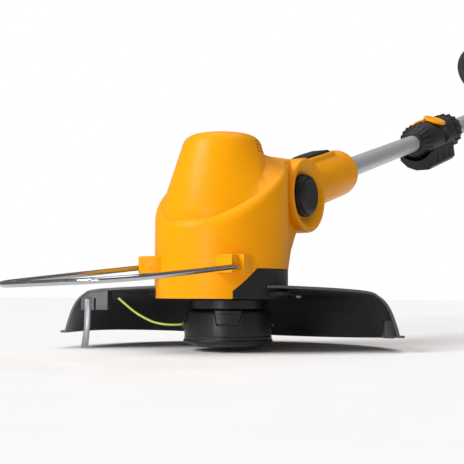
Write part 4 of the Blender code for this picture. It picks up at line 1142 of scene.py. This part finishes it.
class TRIMMER_OT_bump_button(bpy.types.Operator):
    """Make the bump button and the drive cup"""

    bl_idname = "trimmer.bump_button"
    bl_label = "Bump button"

    def execute(self, context):
        finish_bump_button()
        finish_carrier()
        return {"FINISHED"}


class TRIMMER_OT_guard(bpy.types.Operator):
    """Make the debris guard with its cutter holder"""

    bl_idname = "trimmer.guard"
    bl_label = "Debris guard"

    def execute(self, context):
        finish_guard()
        return {"FINISHED"}


class TRIMMER_OT_cutter(bpy.types.Operator):
    """Make the steel line cutter"""

    bl_idname = "trimmer.cutter"
    bl_label = "Line cutter"

    def execute(self, context):
        finish_cutter()
        return {"FINISHED"}


class TRIMMER_OT_bracket(bpy.types.Operator):
    """Make the guard's bracket and its screws"""

    bl_idname = "trimmer.bracket"
    bl_label = "Guard bracket"

    def execute(self, context):
        finish_bracket()
        return {"FINISHED"}


class TRIMMER_OT_plant_guard(bpy.types.Operator):
    """Make the plant guard's wire"""

    bl_idname = "trimmer.plant_guard"
    bl_label = "Plant guard"

    def execute(self, context):
        finish_plant_guard()
        return {"FINISHED"}


class TRIMMER_OT_pivot_covers(bpy.types.Operator):
    """Make the stepped covers of the tilt pivot"""

    bl_idname = "trimmer.pivot_covers"
    bl_label = "Pivot covers"

    def execute(self, context):
        finish_pivot_caps()
        return {"FINISHED"}


class TRIMMER_OT_arm(bpy.types.Operator):
    """Make both halves of the arm that holds the shaft"""

    bl_idname = "trimmer.arm"
    bl_label = "Arm"

    def execute(self, context):
        finish_arm()
        return {"FINISHED"}


class TRIMMER_OT_pedal(bpy.types.Operator):
    """Make the pedal that frees the tilt"""

    bl_idname = "trimmer.pedal"
    bl_label = "Tilt pedal"

    def execute(self, context):
        finish_pedal()
        return {"FINISHED"}


class TRIMMER_OT_tubes(bpy.types.Operator):
    """Make the two telescopic tubes"""

    bl_idname = "trimmer.tubes"
    bl_label = "Shaft tubes"

    def execute(self, context):
        finish_tubes()
        return {"FINISHED"}


class TRIMMER_OT_collar_nuts(bpy.types.Operator):
    """Make the collar's two ribbed nuts"""

    bl_idname = "trimmer.collar_nuts"
    bl_label = "Collar nuts"

    def execute(self, context):
        finish_collar_rings()
        return {"FINISHED"}


class TRIMMER_OT_collar_body(bpy.types.Operator):
    """Make the collar's barrel and its rest"""

    bl_idname = "trimmer.collar_body"
    bl_label = "Collar body"

    def execute(self, context):
        finish_collar_body()
        return {"FINISHED"}


class TRIMMER_OT_clamp_lever(bpy.types.Operator):
    """Make the collar's clamp lever"""

    bl_idname = "trimmer.clamp_lever"
    bl_label = "Clamp lever"

    def execute(self, context):
        finish_lever()
        return {"FINISHED"}


class TRIMMER_OT_front_handle(bpy.types.Operator):
    """Make the front handle, its hub and knob"""

    bl_idname = "trimmer.front_handle"
    bl_label = "Front handle"

    def execute(self, context):
        finish_front_handle()
        return {"FINISHED"}


class TRIMMER_OT_rear_handle(bpy.types.Operator):
    """Make the rear handle, trigger and lock-off button"""

    bl_idname = "trimmer.rear_handle"
    bl_label = "Rear handle"

    def execute(self, context):
        finish_rear_handle()
        return {"FINISHED"}


class TRIMMER_OT_battery(bpy.types.Operator):
    """Make the battery and its release button"""

    bl_idname = "trimmer.battery"
    bl_label = "Battery"

    def execute(self, context):
        finish_battery()
        return {"FINISHED"}


class TRIMMER_OT_springs(bpy.types.Operator):
    """Make the three springs"""

    bl_idname = "trimmer.springs"
    bl_label = "Springs"

    def execute(self, context):
        finish_springs()
        return {"FINISHED"}


class TRIMMER_OT_inner_works(bpy.types.Operator):
    """Finish every solid part that still shows"""

    bl_idname = "trimmer.inner_works"
    bl_label = "Inner works"

    def execute(self, context):
        finish_inner_works()
        return {"FINISHED"}


class TRIMMER_OT_studio(bpy.types.Operator):
    """Make the floor and the lights"""

    bl_idname = "trimmer.studio"
    bl_label = "Studio"

    def execute(self, context):
        build_studio()
        return {"FINISHED"}


OPERATORS = (
    TRIMMER_OT_camera,
    TRIMMER_OT_cutting_line,
    TRIMMER_OT_housing,
    TRIMMER_OT_line_head,
    TRIMMER_OT_bump_button,
    TRIMMER_OT_guard,
    TRIMMER_OT_cutter,
    TRIMMER_OT_bracket,
    TRIMMER_OT_plant_guard,
    TRIMMER_OT_pivot_covers,
    TRIMMER_OT_arm,
    TRIMMER_OT_pedal,
    TRIMMER_OT_tubes,
    TRIMMER_OT_collar_nuts,
    TRIMMER_OT_collar_body,
    TRIMMER_OT_clamp_lever,
    TRIMMER_OT_front_handle,
    TRIMMER_OT_rear_handle,
    TRIMMER_OT_battery,
    TRIMMER_OT_springs,
    TRIMMER_OT_inner_works,
    TRIMMER_OT_studio,
)


class TRIMMER_PT_panel(bpy.types.Panel):
    """Lists the trimmer's sizes, colours and pieces"""

    bl_idname = "TRIMMER_PT_panel"
    bl_label = "String trimmer"
    bl_space_type = "VIEW_3D"
    bl_region_type = "UI"
    bl_category = "Trimmer"

    def draw(self, context):
        for group in (context.scene.trimmer_sizes, context.scene.trimmer_colours):
            box = self.layout.box()
            for name in group.__annotations__:
                box.prop(group, name)
        column = self.layout.column(align=True)
        for operator in OPERATORS:
            column.operator(operator.bl_idname)


CLASSES = (TRIMMER_PG_sizes, TRIMMER_PG_colours, *OPERATORS, TRIMMER_PT_panel)


def register():
    for made in CLASSES:
        bpy.utils.register_class(made)
    bpy.types.Scene.trimmer_sizes = bpy.props.PointerProperty(type=TRIMMER_PG_sizes)
    bpy.types.Scene.trimmer_colours = bpy.props.PointerProperty(type=TRIMMER_PG_colours)


def unregister():
    del bpy.types.Scene.trimmer_colours
    del bpy.types.Scene.trimmer_sizes
    for made in reversed(CLASSES):
        bpy.utils.unregister_class(made)


def main():
    register()
    for operator in OPERATORS:
        getattr(bpy.ops.trimmer, operator.bl_idname.split(".")[1])()


if __name__ == "__main__":
    main()
